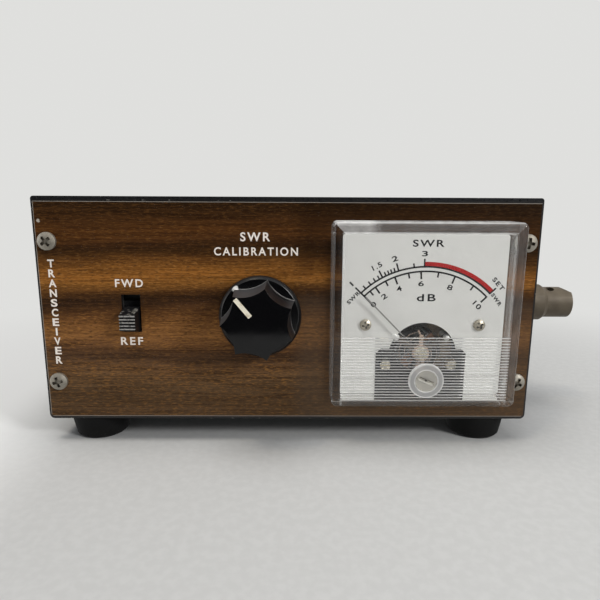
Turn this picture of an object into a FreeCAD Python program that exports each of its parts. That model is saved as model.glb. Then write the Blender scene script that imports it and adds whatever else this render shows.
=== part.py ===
# Bench SWR meter: a folded steel case with a woodgrain front, a square moving-coil meter,
# a level knob, a two-way slide switch and a coaxial socket on each side.
# Millimetres. The layout frame has X across the front from the middle of the panel, Y into
# the case from the face of the woodgrain trim, and Z up from under the rubber feet.
# Each piece is built in that frame and moved to the part's own origin as it is written.
import FreeCAD, Part
import math
import os

V = FreeCAD.Vector

# ---- driving dimensions: case ----
CASE_DEPTH = 68.0          # face of the trim to the back of the lid
SHEET = 1.0                # case sheet steel
BEND_R = 1.5               # outside radius of the folds
FOOT_HEIGHT = 8.0
PLATE_W = 151.3            # steel front plate
PLATE_H = 68.4
PLATE_T = 1.2
TRIM_T = 0.3               # woodgrain trim on the plate
TRIM_SIDE_MARGIN = 0.65    # bare plate beside, below and above the trim
TRIM_LOW_MARGIN = 0.9
TRIM_TOP_MARGIN = 0.5
FLANGE_W = 9.0             # inward flanges of the shell
FLANGE_END_GAP = 2.0
LIP_H = 12.0               # side lips of the lid

# ---- driving dimensions: fasteners ----
M3_R = 1.5
M3_CLEAR = 0.2             # radial, clearance holes
THREAD_GAP = 0.05          # radial, tapped holes
M3_HEAD_R = 2.7
M3_HEAD_H = 1.9
M3_NUT_AF = 5.5
M3_NUT_T = 2.4
PANEL_SCREW_IN = 4.1       # in from the sides of the plate
PANEL_SCREW_LOW = 12.6     # above the bottom of the plate
PANEL_SCREW_RISE = 43.6
CASE_SCREW_L = 6.0
LONG_SCREW_L = 8.0         # feet and socket flanges
LID_SCREW_DROP = 6.5       # below the top of the plate
LID_SCREW_FRONT = 14.0
LID_SCREW_REAR = 12.0      # in from the back
BACK_SCREW_IN = 5.85
BACK_SCREW_UP = 7.5

# ---- driving dimensions: feet ----
FOOT_SIDE_IN = 12.9        # foot centre in from the sides of the plate
FOOT_END_IN = 10.2         # and from the front and back
FOOT_TOP_R = 9.7
FOOT_LOW_R = 8.3
FOOT_EDGE_R = 0.8
FOOT_BORE_R = 4.0
FOOT_SEAT_T = 3.0          # rubber left above the screw head

# ---- driving dimensions: level knob and potentiometer ----
KNOB_X = -8.5
KNOB_UP = 33.75            # above the bottom of the plate
KNOB_GAP = 0.6             # knob to trim
KNOB_H = 13.0              # trim to the face of the knob
SKIRT_R = 12.5
SKIRT_EDGE = 1.2
SKIRT_H = 2.2
FLUTES = 7
RIDGE_LOW_R = 11.8
RIDGE_TOP_R = 10.7
FLUTE_DEPTH = 1.25
FACE_BEVEL = 0.45
KNOB_RECESS_R = 8.2
KNOB_RECESS_H = 3.6
KNOB_BORE_WALL = 2.0       # plastic left in front of the shaft
POINTER_ANGLE = 39.8       # to the left of straight up, along one ridge
POINTER_IN_R = 3.1
POINTER_OUT_R = 9.8
POINTER_W = 1.3
POINTER_DEPTH = 0.4
POINTER_PROUD = 0.05
SHAFT_R = 3.0
SHAFT_GAP = 0.05
BUSH_R = 3.5
BUSH_GAP = 0.1
BUSH_OUT = 3.4
POT_R = 8.2
POT_DEPTH = 9.0
POT_NUT_AF = 10.0
POT_NUT_T = 2.0
POT_WASHER_R = 6.0
POT_WASHER_T = 0.5
POT_TONGUE_T = 1.6
POT_TONGUE_L = 3.0
POT_TONGUE_BACK = 3.6      # its back behind the plate
POT_LUG_PITCH = 5.0
POT_LUG_W = 2.4
POT_LUG_L = 8.0
POT_LUG_T = 0.4
GRUB_R = 1.5
GRUB_L = 5.0

# ---- driving dimensions: slide switch ----
SWITCH_IN = 27.8           # slot centre in from the left of the plate
SWITCH_UP = 34.25          # slot centre above the bottom of the plate
SLOT_W = 5.8
SLOT_H = 11.7
SLIDER_W = 4.85
SLIDER_ROOT_H = 7.6
SLIDER_FACE_H = 4.9
SLIDER_OUT = 4.8
SLIDER_END_GAP = 0.1
SLIDER_RIBS = 5
RIB_GAP = 0.45
RIB_DEPTH = 0.35
SHOE_W = 9.6               # sliding shoe behind the frame
SHOE_H = 11.0
SHOE_T = 1.8
SHOE_GAP = 0.15
FRAME_T = 0.8
FRAME_W = 12.0
FRAME_H = 34.0
CAN_H = 20.0
CAN_WALL = 0.5
CAN_D = 7.2
RIVET_PITCH = 28.0
RIVET_R = 1.2
SWITCH_LUG_L = 4.5

# ---- driving dimensions: meter case ----
METER_IN = 8.2             # cover in from the right of the plate
METER_UP = 35.45           # middle of the cover above the bottom of the plate
COVER_W = 54.7
COVER_H = 54.5
COVER_D = 10.2
COVER_WALL = 2.75
COVER_TOP_WALL = 3.3
COVER_FLOOR_WALL = 1.8
WINDOW_T = 1.8
COVER_CORNER_R = 1.8
COVER_EDGE_R = 1.2
COVER_INNER_R = 0.9
RIB_COUNT = 23
RIB_PITCH = 0.864
RIB_CUT_W = 0.42
RIB_CUT_D = 0.3
BOSS_R = 5.1
BOSS_H = 0.7
TRAY_GAP = 0.3             # tray to the walls of the cover
TRAY_D = 3.6
BARREL_UP = 21.5           # above the foot of the cover
BARREL_R = 19.5
BARREL_WALL = 1.2
BARREL_END_GAP = 1.1       # rear bridge to the floor of the barrel
BARREL_FLOOR = 2.0
BARREL_GAP = 0.3
STUD_SPREAD = 39.0
STUD_L = 10.0
TERMINAL_SPREAD = 15.0
TERMINAL_UP = 12.0
TAG_L = 8.0
TAG_W = 2.4
TAG_T = 0.5
DIAL_T = 0.4
DIAL_SCREW_SPREAD = 34.0
DIAL_SCREW_UP = 23.85      # above the foot of the cover
DIAL_BOSS_R = 2.2
DIAL_BOSS_D = 4.0
SMALL_SCREW_R = 1.0        # M2 screws in the meter and on the circuit board
SMALL_HEAD_R = 1.7
SMALL_HEAD_H = 1.1
CHEESE_HEAD_R = 1.6
CHEESE_HEAD_H = 1.4
CHEESE_SCREW_REACH = 3.0
ARCH_R = 10.3
ARCH_DROP = 0.2            # arch centre below the pivot
CUT_W = 27.3               # throat of the cut-out, in the middle of the dial
CUT_UP = 0.6               # shoulders of the cut-out above the pivot
CUT_FLARE = 1.5

# ---- driving dimensions: meter movement ----
PIVOT_OFF = 0.5            # pivot to the right of the meter's middle
PIVOT_UP = 14.4            # and above the foot of the cover
RING_Y = 3.2               # front of the iron ring
RING_L = 8.6
RING_R = 11.0
GAP_R = 7.4                # bore of the iron ring
CORE_R = 5.2
CORE_OVER = 0.2            # core past the ring at each end
SPACER_W = 3.0
EAR_X = 10.3
EAR_DROP = 4.5
EAR_R = 2.0
EAR_FORWARD = 2.0          # ears in front of the ring
FORMER_R = 5.5             # inside of the coil former
FORMER_T = 0.35
FORMER_W = 3.4
WINDING_T = 0.75
WINDING_W = 2.8
COIL_END_GAP = 0.7         # coil to core, front and back
STAFF_R = 0.35
PIVOT_GAP = 0.05
PILLAR_X = 7.7
PILLAR_UP = 5.1
PILLAR_R = 0.9
PILLAR_HEAD_R = 1.0
PILLAR_HEAD_H = 0.9
BRIDGE_Y = -1.5
BRIDGE_T = 0.8
BRIDGE_HUB_R = 3.2
BRIDGE_ARM_W = 1.8
JEWEL_R = 1.5
JEWEL_CAP_R = 2.0
JEWEL_CAP_T = 0.4
REAR_BRIDGE_GAP = 3.1      # behind the ring
REAR_BRIDGE_T = 1.0
REAR_LEG_X = 9.2
REAR_LEG_R = 1.5
NEEDLE_TIP_R = 25.4
NEEDLE_W = 0.4
NEEDLE_T = 0.25
NEEDLE_REST = 44.5         # to the left of straight up
NEEDLE_FRONT = 1.7         # needle in front of the dial
NEEDLE_RISE_R = 6.9
NEEDLE_OUT_R = 9.2
HUB_R = 1.2
HUB_Y = 0.6
HUB_T = 0.5
TAIL_R = 5.0
WEIGHT_R = 0.35
WEIGHT_L = 2.4
SPRING_STEP = 0.84         # growth of each half turn
SPRING_HALF_TURNS = 7
SPRING_T = 0.12
SPRING_W = 0.7
ZERO_DROP = 6.0            # zero screw below the pivot
ZERO_HEAD_R = 3.2
ZERO_HEAD_T = 1.2
ZERO_HEAD_GAP = 0.1
ZERO_SHANK_R = 1.5
ZERO_COLLAR_R = 2.2
ZERO_COLLAR_T = 0.7
ZERO_SLOT_W = 0.9
ZERO_SLOT_D = 0.6
ZERO_SLOT_TILT = 23.0
CRANK = 1.2                # eccentric pin off the zero screw's axis
CRANK_R = 0.4
ARM_T = 0.4
ARM_W = 2.6
ARM_NECK_W = 1.2
ARM_NECK_R = 5.8
ARM_GAP = 0.1
FORK_GAP = 0.06
HOOK_GAP = 0.15            # hairspring to the hook that holds its end
LUG_LEAN = 30.0            # lug at the end of the arm, to the left of straight up
LUG_L = 2.2
LUG_W = 0.5

# ---- driving dimensions: sockets, plug and bridge line ----
SOCKET_Y = 34.0
SOCKET_UP = 31.6           # above the bottom of the plate
SOCKET_FLANGE = 25.4
SOCKET_FLANGE_T = 1.6
SOCKET_HOLES = 18.2
SOCKET_THREAD_R = 7.94
SOCKET_THREAD_L = 7.8
SOCKET_MOUTH_R = 6.0
SOCKET_MOUTH_L = 5.0
SOCKET_REAR_R = 5.8
SOCKET_REAR_L = 7.0
SOCKET_HOLE_GAP = 0.3
INSULATOR_R = 5.0
CONTACT_R = 2.9
CONTACT_BORE_R = 2.0
CONTACT_BORE_L = 9.5
CONTACT_OUT = 4.5          # solder cup past the rear barrel
NOTCH_W = 1.6
NOTCH_D = 1.0
PLUG_NOSE_GAP = 0.06
PLUG_PIN_GAP = 0.04
PLUG_SHOULDER_R = 7.6
PLUG_SHOULDER_T = 1.3
PLUG_NECK_R = 6.6
PLUG_NECK_L = 7.05
PLUG_CONE_L = 1.6
PLUG_BARREL_R = 5.6
PLUG_BARREL_L = 8.95
PLUG_BORE_R = 4.7
PLUG_WEB = 3.0             # body left between the bore and the nose
PLUG_FLAT_START = 2.9      # milled flat, from the end of the barrel
PLUG_FLAT_DROP = 1.4
SOLDER_HOLE_R = 1.4
SOLDER_HOLE_IN = 1.8
SOLDER_HOLE_TURN = 20.0     # holes turned from straight up towards the front
RING_THREAD_GAP = 0.06
COUPLING_R = 9.2
COUPLING_START = 0.8       # from the flange
COUPLING_LIP_T = 1.4
COUPLING_LIP_GAP = 0.15
KNURLS = 20
KNURL_D = 0.5
TROUGH_T = 0.7
TROUGH_SIDE = 13.6         # square section, centred on the line
TROUGH_FLANGE = 5.5
LINE_R = 1.5
BOARD_IN = 16.65           # in from the outside of the shell
BOARD_T = 1.6
BOARD_SCREW_IN = 8.0       # in from the ends of the board
PICKUP_R = 0.5
PICKUP_IN = 20.0
PICKUP_SPREAD = 7.0
PICKUP_BACK = 3.6          # behind the line
DIODE_R = 1.3
DIODE_L = 7.0
RESISTOR_R = 1.6
RESISTOR_L = 8.5
CAP_R = 3.6
CAP_T = 2.0
CAP_PITCH = 14.0
CAP_LEADS = 3.6
LEAD_R = 0.3
LEAD_STAND = 2.6           # component axis behind the board
LEAD_L = 2.2
COMPONENT_IN = 8.0         # in from the ends of the pickup lines
COMPONENT_OUT = 4.5        # above and below them

# ---- worked out from the values above ----
PLATE_BACK = TRIM_T + PLATE_T
PLATE_Z0 = FOOT_HEIGHT
LID_Z0 = PLATE_Z0 + PLATE_H
TOP_Z = LID_Z0 + SHEET
SHELL_HALF = PLATE_W / 2 - SHEET
SHELL_BACK = CASE_DEPTH - SHEET
FLOOR_Z = PLATE_Z0 + SHEET
TRIM_HALF = PLATE_W / 2 - TRIM_SIDE_MARGIN
TRIM_Z0 = PLATE_Z0 + TRIM_LOW_MARGIN
TRIM_Z1 = LID_Z0 - TRIM_TOP_MARGIN
PANEL_SCREWS = [
    (side * (PLATE_W / 2 - PANEL_SCREW_IN), PLATE_Z0 + PANEL_SCREW_LOW + rise)
    for side in (-1, 1)
    for rise in (0, PANEL_SCREW_RISE)
]
LID_SCREW_Z = LID_Z0 - LID_SCREW_DROP
LID_SCREW_YS = (LID_SCREW_FRONT, CASE_DEPTH - LID_SCREW_REAR)
BACK_SCREW_X = PLATE_W / 2 - BACK_SCREW_IN
BACK_SCREW_Z = PLATE_Z0 + BACK_SCREW_UP
FOOT_X = PLATE_W / 2 - FOOT_SIDE_IN
FEET = {
    "front_left": (-FOOT_X, FOOT_END_IN),
    "front_right": (FOOT_X, FOOT_END_IN),
    "rear_left": (-FOOT_X, CASE_DEPTH - FOOT_END_IN),
    "rear_right": (FOOT_X, CASE_DEPTH - FOOT_END_IN),
}
KNOB_Z = PLATE_Z0 + KNOB_UP
POT_TONGUE_Y = PLATE_BACK + POT_TONGUE_BACK
SWITCH_X = SWITCH_IN - PLATE_W / 2
SWITCH_Z = PLATE_Z0 + SWITCH_UP
SLIDER_TRAVEL = SLOT_H - SLIDER_ROOT_H - 2 * SLIDER_END_GAP
SLIDER_Z = SWITCH_Z - SLIDER_TRAVEL / 2
SHOE_Y = PLATE_BACK + FRAME_T + SHOE_GAP
CAN_BACK = PLATE_BACK + FRAME_T + CAN_D
WINDOW_BACK = -COVER_D + WINDOW_T
METER_X = PLATE_W / 2 - METER_IN - COVER_W / 2
METER_Z = PLATE_Z0 + METER_UP
COVER_Z0 = METER_Z - COVER_H / 2
TRAY_HALF = COVER_W / 2 - COVER_WALL - TRAY_GAP
TRAY_Z0 = COVER_Z0 + COVER_FLOOR_WALL + TRAY_GAP
TRAY_Z1 = METER_Z + COVER_H / 2 - COVER_TOP_WALL - TRAY_GAP
BARREL_Z = COVER_Z0 + BARREL_UP
DIAL_SCREW_Z = COVER_Z0 + DIAL_SCREW_UP
PIVOT_X = METER_X + PIVOT_OFF
PIVOT_Z = COVER_Z0 + PIVOT_UP
DIAL_FACE = -TRAY_D - DIAL_T
STUDS = [
    (METER_X + sx * STUD_SPREAD / 2, METER_Z + sz * STUD_SPREAD / 2)
    for sx in (-1, 1)
    for sz in (-1, 1)
]
TERMINALS = [(METER_X + s * TERMINAL_SPREAD / 2, BARREL_Z + TERMINAL_UP) for s in (-1, 1)]
DIAL_SCREWS = [(METER_X + s * DIAL_SCREW_SPREAD / 2, DIAL_SCREW_Z) for s in (-1, 1)]
EARS = [(PIVOT_X + s * EAR_X, PIVOT_Z - EAR_DROP) for s in (-1, 1)]
PILLARS = [(PIVOT_X + s * PILLAR_X, PIVOT_Z + PILLAR_UP) for s in (-1, 1)]
RING_BACK = RING_Y + RING_L
EAR_Y = RING_Y - EAR_FORWARD
REAR_BRIDGE_Y = RING_BACK + REAR_BRIDGE_GAP
BARREL_D = REAR_BRIDGE_Y + REAR_BRIDGE_T + BARREL_END_GAP + BARREL_FLOOR
SPRING_TOP = HUB_R + (SPRING_HALF_TURNS - 1) * SPRING_STEP + SPRING_T
ZERO_Z = PIVOT_Z - ZERO_DROP
ZERO_FACE = -COVER_D - BOSS_H
SOCKET_Z = PLATE_Z0 + SOCKET_UP
SOCKET_RIM = SHELL_HALF + SOCKET_FLANGE_T + SOCKET_THREAD_L
INSULATOR_FACE = SOCKET_RIM - SOCKET_MOUTH_L
SOCKET_REAR = SHELL_HALF - SHEET - SOCKET_REAR_L
PLUG_SHOULDER_END = SOCKET_RIM + PLUG_SHOULDER_T
PLUG_NECK_END = PLUG_SHOULDER_END + PLUG_NECK_L
PLUG_CONE_END = PLUG_NECK_END + PLUG_CONE_L
PLUG_END = PLUG_CONE_END + PLUG_BARREL_L
BOARD_Y = SOCKET_Y + TROUGH_SIDE / 2
BOARD_W = 2 * (SHELL_HALF - BOARD_IN)
BOARD_SCREW_X = BOARD_W / 2 - BOARD_SCREW_IN
PICKUP_HALF = BOARD_W / 2 - PICKUP_IN
BOARD_H = TROUGH_SIDE + 2 * TROUGH_FLANGE
ORIGIN = V(
    (PLUG_END - SOCKET_RIM) / 2,
    (CASE_DEPTH + M3_HEAD_H - KNOB_H - POINTER_PROUD) / 2,
    0,
)


# ---- small shape helpers ----
def box(x0, x1, y0, y1, z0, z1):
    return Part.makeBox(x1 - x0, y1 - y0, z1 - z0, V(x0, y0, z0))


def rod_x(radius, x0, x1, y, z):
    return Part.makeCylinder(radius, x1 - x0, V(x0, y, z), V(1, 0, 0))


def rod_y(radius, y0, y1, x, z):
    return Part.makeCylinder(radius, y1 - y0, V(x, y0, z), V(0, 1, 0))


def rod_z(radius, z0, z1, x, y):
    return Part.makeCylinder(radius, z1 - z0, V(x, y, z0), V(0, 0, 1))


def moved_by(shape, base, turn):
    """A copy of a shape, turned about the origin and then carried to base."""
    moved = shape.copy()
    moved.Placement = FreeCAD.Placement(base, turn).multiply(shape.Placement)
    return moved


def placed(shape, base, direction, spin=0.0):
    """A shape modelled along +Z, spun about it, laid along direction at base."""
    turn = FreeCAD.Rotation(V(0, 0, 1), direction).multiply(FreeCAD.Rotation(V(0, 0, 1), spin))
    return moved_by(shape, base, turn)


def turned(profile):
    """A solid turned about Z from (radius, height) points."""
    points = [V(radius, 0, height) for radius, height in profile]
    face = Part.Face(Part.makePolygon(points + points[:1]))
    return face.revolve(V(0, 0, 0), V(0, 0, 1), 360)


def hexagon(flats, height):
    across = flats / math.sqrt(3)
    corners = [
        V(across * math.cos(math.radians(60 * k)), across * math.sin(math.radians(60 * k)), 0)
        for k in range(6)
    ]
    return Part.Face(Part.makePolygon(corners + corners[:1])).extrude(V(0, 0, height))


def joined(shapes):
    """Shapes that grow into one solid."""
    return shapes[0].multiFuse(shapes[1:]).removeSplitter() if len(shapes) > 1 else shapes[0]


def bent_wire(radius, points):
    """Round wire along straight runs, mitred at its corners."""
    path = Part.Wire(Part.makePolygon(points))
    section = Part.Wire(Part.makeCircle(radius, points[0], points[1] - points[0]))
    return path.makePipeShell([section], True, False, 1)


def edges_where(shape, test):
    return [edge for edge in shape.Edges if test(edge)]


def runs_along(edge, axis):
    """True for a straight edge along a unit axis."""
    if not isinstance(edge.Curve, Part.Line):
        return False
    return abs(abs(edge.tangentAt(edge.FirstParameter).dot(axis)) - 1) < 1e-6


# ---- fasteners ----
def pan_screw(radius, length, head_r, head_h):
    """A pan-head screw standing head up at the origin, with a cross recess."""
    dome = 0.55 * head_h
    dome_r = (head_r ** 2 + dome ** 2) / (2 * dome)
    head = Part.makeCylinder(head_r, head_h)
    head = head.common(Part.makeSphere(dome_r, V(0, 0, head_h - dome_r)))
    arm, slot, depth = 0.62 * head_r, 0.17 * head_r, 0.6 * head_h
    cross = box(-arm, arm, -slot, slot, head_h - depth, head_h + 1)
    cross = cross.fuse(box(-slot, slot, -arm, arm, head_h - depth, head_h + 1))
    shank = Part.makeCylinder(radius, length + 0.2, V(0, 0, -length))
    return head.fuse(shank).cut(cross).removeSplitter()


def m3_screw(length):
    return pan_screw(M3_R, length, M3_HEAD_R, M3_HEAD_H)


def m3_nut():
    nut = hexagon(M3_NUT_AF, M3_NUT_T)
    return nut.cut(Part.makeCylinder(M3_R + THREAD_GAP, M3_NUT_T))


# ---- case ----
def socket_hole_points():
    half = SOCKET_HOLES / 2
    return [(SOCKET_Y + a * half, SOCKET_Z + b * half) for a in (-1, 1) for b in (-1, 1)]


def case_shell():
    """Folded floor and sides with narrow flanges at the front and back."""
    outer = box(-SHELL_HALF, SHELL_HALF, PLATE_BACK, SHELL_BACK, PLATE_Z0, LID_Z0)
    folds = edges_where(
        outer, lambda e: runs_along(e, V(0, 1, 0)) and e.CenterOfMass.z < PLATE_Z0 + 0.1
    )
    outer = outer.makeFillet(BEND_R, folds)
    inner = box(
        -SHELL_HALF + SHEET, SHELL_HALF - SHEET, PLATE_BACK - 1, SHELL_BACK + 1,
        FLOOR_Z, LID_Z0 + 1,
    )
    folds = edges_where(
        inner, lambda e: runs_along(e, V(0, 1, 0)) and e.CenterOfMass.z < FLOOR_Z + 0.1
    )
    inner = inner.makeFillet(BEND_R - SHEET, folds)
    flanges = []
    for side in (-1, 1):
        outside = side * (SHELL_HALF - SHEET / 2)
        inside = side * (SHELL_HALF - FLANGE_W)
        x0, x1 = min(outside, inside), max(outside, inside)
        for y in (PLATE_BACK, SHELL_BACK - SHEET):
            flanges.append(box(
                x0, x1, y, y + SHEET, FLOOR_Z + FLANGE_END_GAP, LID_Z0 - FLANGE_END_GAP
            ))
    shell = joined([outer.cut(inner)] + flanges)
    tapped = M3_R + THREAD_GAP
    holes = [rod_y(tapped, 0, PLATE_BACK + 2 * SHEET, x, z) for x, z in PANEL_SCREWS]
    for side in (-1, 1):
        x0 = side * SHELL_HALF - 2 * SHEET
        holes.append(rod_y(
            tapped, SHELL_BACK - 2 * SHEET, SHELL_BACK + 1, side * BACK_SCREW_X, BACK_SCREW_Z
        ))
        holes += [rod_x(tapped, x0, x0 + 4 * SHEET, y, LID_SCREW_Z) for y in LID_SCREW_YS]
        holes.append(rod_x(
            SOCKET_REAR_R + SOCKET_HOLE_GAP, x0, x0 + 4 * SHEET, SOCKET_Y, SOCKET_Z
        ))
        holes += [
            rod_x(M3_R + M3_CLEAR, x0, x0 + 4 * SHEET, y, z) for y, z in socket_hole_points()
        ]
    holes += [rod_z(M3_R + M3_CLEAR, 0, FLOOR_Z + 1, x, y) for x, y in FEET.values()]
    return shell.cut(holes)


def case_lid():
    """Top and back folded from one sheet, with lips that lap over the shell's sides."""
    half = PLATE_W / 2
    top = box(-half, half, TRIM_T, CASE_DEPTH, LID_Z0, TOP_Z)
    back = box(-half, half, SHELL_BACK, CASE_DEPTH, PLATE_Z0, TOP_Z)
    lips = [
        box(min(side * half, side * SHELL_HALF), max(side * half, side * SHELL_HALF),
            PLATE_BACK, CASE_DEPTH, LID_Z0 - LIP_H, TOP_Z)
        for side in (-1, 1)
    ]
    lid = joined([top, back] + lips)
    folds = edges_where(lid, lambda e: e.CenterOfMass.z > TOP_Z - 0.01 and (
        (runs_along(e, V(0, 1, 0)) and abs(e.CenterOfMass.x) > half - 0.01)
        or (runs_along(e, V(1, 0, 0)) and e.CenterOfMass.y > CASE_DEPTH - 0.01)
    ))
    lid = lid.makeFillet(0.9 * SHEET, folds)
    clear = M3_R + M3_CLEAR
    holes = []
    for side in (-1, 1):
        x0 = side * half - 2 * SHEET
        holes += [rod_x(clear, x0, x0 + 4 * SHEET, y, LID_SCREW_Z) for y in LID_SCREW_YS]
        holes.append(rod_y(
            clear, SHELL_BACK - 1, CASE_DEPTH + 1, side * BACK_SCREW_X, BACK_SCREW_Z
        ))
    return lid.cut(holes)


def case_screws():
    """The short screws of the front panel, the lid's lips and the foot of its back."""
    screw = m3_screw(CASE_SCREW_L)
    pieces = [
        placed(screw, V(x, 0, z), V(0, -1, 0), 15 + 23 * k)
        for k, (x, z) in enumerate(PANEL_SCREWS)
    ]
    for side in (-1, 1):
        pieces += [
            placed(screw, V(side * PLATE_W / 2, y, LID_SCREW_Z), V(side, 0, 0), 20 + 3 * y)
            for y in LID_SCREW_YS
        ]
        pieces.append(placed(
            screw, V(side * BACK_SCREW_X, CASE_DEPTH, BACK_SCREW_Z), V(0, 1, 0), 30
        ))
    return Part.makeCompound(pieces)


def plate_openings(y0, y1):
    """What the steel plate and its trim both let through."""
    openings = [rod_y(M3_R + M3_CLEAR, y0, y1, x, z) for x, z in PANEL_SCREWS]
    openings.append(rod_y(BARREL_R + BARREL_GAP, y0, y1, METER_X, BARREL_Z))
    openings += [rod_y(M3_R + M3_CLEAR, y0, y1, x, z) for x, z in STUDS]
    openings.append(rod_y(BUSH_R + BUSH_GAP, y0, y1, KNOB_X, KNOB_Z))
    openings.append(box(
        SWITCH_X - SLOT_W / 2, SWITCH_X + SLOT_W / 2, y0, y1,
        SWITCH_Z - SLOT_H / 2, SWITCH_Z + SLOT_H / 2,
    ))
    return openings


def front_panel():
    plate = box(-PLATE_W / 2, PLATE_W / 2, TRIM_T, PLATE_BACK, PLATE_Z0, LID_Z0)
    corners = edges_where(
        plate, lambda e: runs_along(e, V(0, 1, 0)) and e.CenterOfMass.z < PLATE_Z0 + 0.1
    )
    plate = plate.makeFillet(BEND_R, corners)
    holes = plate_openings(TRIM_T - 1, PLATE_BACK + 1)
    for side in (-1, 1):
        z = SWITCH_Z + side * RIVET_PITCH / 2
        holes.append(rod_y(RIVET_R, TRIM_T - 1, PLATE_BACK + 1, SWITCH_X, z))
    return plate.cut(holes)


def panel_overlay():
    trim = box(-TRIM_HALF, TRIM_HALF, 0, TRIM_T, TRIM_Z0, TRIM_Z1)
    corners = edges_where(
        trim, lambda e: runs_along(e, V(0, 1, 0)) and e.CenterOfMass.z < TRIM_Z0 + 0.1
    )
    trim = trim.makeFillet(BEND_R - TRIM_SIDE_MARGIN, corners)
    return trim.cut(plate_openings(-1, TRIM_T + 1))


def foot(x, y):
    """Tapered rubber foot with a counterbore for its screw."""
    seat = FOOT_HEIGHT - FOOT_SEAT_T
    rubber = turned([
        (M3_R + M3_CLEAR, FOOT_HEIGHT), (FOOT_TOP_R, FOOT_HEIGHT),
        (FOOT_LOW_R, FOOT_EDGE_R), (FOOT_LOW_R - FOOT_EDGE_R, 0),
        (FOOT_BORE_R, 0), (FOOT_BORE_R, seat), (M3_R + M3_CLEAR, seat),
    ])
    rubber.translate(V(x, y, 0))
    return rubber


def nuts():
    """The hexagon nuts of the feet, the meter studs and the socket flanges."""
    nut = m3_nut()
    pieces = [placed(nut, V(x, y, FLOOR_Z), V(0, 0, 1), 15) for x, y in FEET.values()]
    pieces += [placed(nut, V(x, PLATE_BACK, z), V(0, 1, 0)) for x, z in STUDS]
    wall = SHELL_HALF - SHEET - TROUGH_T
    for side in (-1, 1):
        pieces += [
            placed(nut, V(side * wall, y, z), V(-side, 0, 0)) for y, z in socket_hole_points()
        ]
    return Part.makeCompound(pieces)


# ---- level knob and potentiometer ----
def fluted_outline(ridge_r, height):
    """A ring of hollow flutes that meet in ridges, one ridge under the pointer."""
    step = 2 * math.pi / FLUTES
    start = math.radians(90 + POINTER_ANGLE)
    valley_r = ridge_r * math.cos(step / 2) - FLUTE_DEPTH
    arcs = []
    for k in range(FLUTES):
        angles = (start + k * step, start + (k + 0.5) * step, start + (k + 1) * step)
        radii = (ridge_r, valley_r, ridge_r)
        points = [
            V(r * math.cos(a), r * math.sin(a), height) for r, a in zip(radii, angles)
        ]
        arcs.append(Part.Arc(*points).toShape())
    return Part.Wire(arcs)


def on_knob_axis(shape):
    """Modelled with +Z towards the user and +Y up: stood on the panel at the knob."""
    return moved_by(shape, V(KNOB_X, 0, KNOB_Z), FreeCAD.Rotation(V(1, 0, 0), 90))


def pointer_bar(height0, height1):
    half = POINTER_W / 2
    bar = box(-half, half, POINTER_IN_R, POINTER_OUT_R, height0, height1)
    ends = edges_where(bar, lambda e: runs_along(e, V(0, 0, 1)))
    bar = bar.makeFillet(0.3 * half, ends)
    return bar.rotate(V(0, 0, 0), V(0, 0, 1), POINTER_ANGLE)


def knob():
    """Fluted knob on a round skirt, hollow underneath to clear the bush and nut."""
    skirt = turned([
        (0, KNOB_GAP), (SKIRT_R, KNOB_GAP), (SKIRT_R, KNOB_GAP + SKIRT_EDGE),
        (RIDGE_LOW_R - 0.2, KNOB_GAP + SKIRT_H), (0, KNOB_GAP + SKIRT_H),
    ])
    waist = KNOB_GAP + SKIRT_H - 0.5
    shoulder = KNOB_H - FACE_BEVEL
    body = Part.makeLoft([
        fluted_outline(RIDGE_LOW_R, waist),
        fluted_outline(RIDGE_TOP_R, shoulder),
        fluted_outline(RIDGE_TOP_R - FACE_BEVEL, KNOB_H),
    ], True, True)
    whole = skirt.fuse(body)
    recess_top = KNOB_GAP + KNOB_RECESS_H
    tools = [
        Part.makeCylinder(KNOB_RECESS_R, KNOB_RECESS_H, V(0, 0, KNOB_GAP)),
        Part.makeCylinder(SHAFT_R, KNOB_H - KNOB_BORE_WALL - recess_top, V(0, 0, recess_top)),
        pointer_bar(KNOB_H - POINTER_DEPTH, KNOB_H + 1),
        grub_shape(RIDGE_LOW_R + 2),
    ]
    return on_knob_axis(whole.cut(tools))


def grub_height():
    return (KNOB_GAP + KNOB_RECESS_H + KNOB_H - KNOB_BORE_WALL) / 2


def grub_shape(reach):
    """A bar from the shaft outwards, straight across from the pointer."""
    angle = math.radians(POINTER_ANGLE - 90)
    direction = V(math.cos(angle), math.sin(angle), 0)
    start = direction * SHAFT_R + V(0, 0, grub_height())
    return Part.makeCylinder(GRUB_R, reach - SHAFT_R, start, direction)


def knob_set_screw():
    grub = grub_shape(SHAFT_R + GRUB_L)
    angle = math.radians(POINTER_ANGLE - 90)
    end = V(math.cos(angle), math.sin(angle), 0) * (SHAFT_R + GRUB_L) + V(0, 0, grub_height())
    slot = box(-0.8, 0.8, -0.25, 0.25, -GRUB_R - 1, GRUB_R + 1)
    slot.Placement = FreeCAD.Placement(end, FreeCAD.Rotation(V(0, 0, 1), POINTER_ANGLE - 90))
    return on_knob_axis(grub.cut(slot))


def knob_pointer():
    return on_knob_axis(pointer_bar(KNOB_H - POINTER_DEPTH, KNOB_H + POINTER_PROUD))


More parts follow.
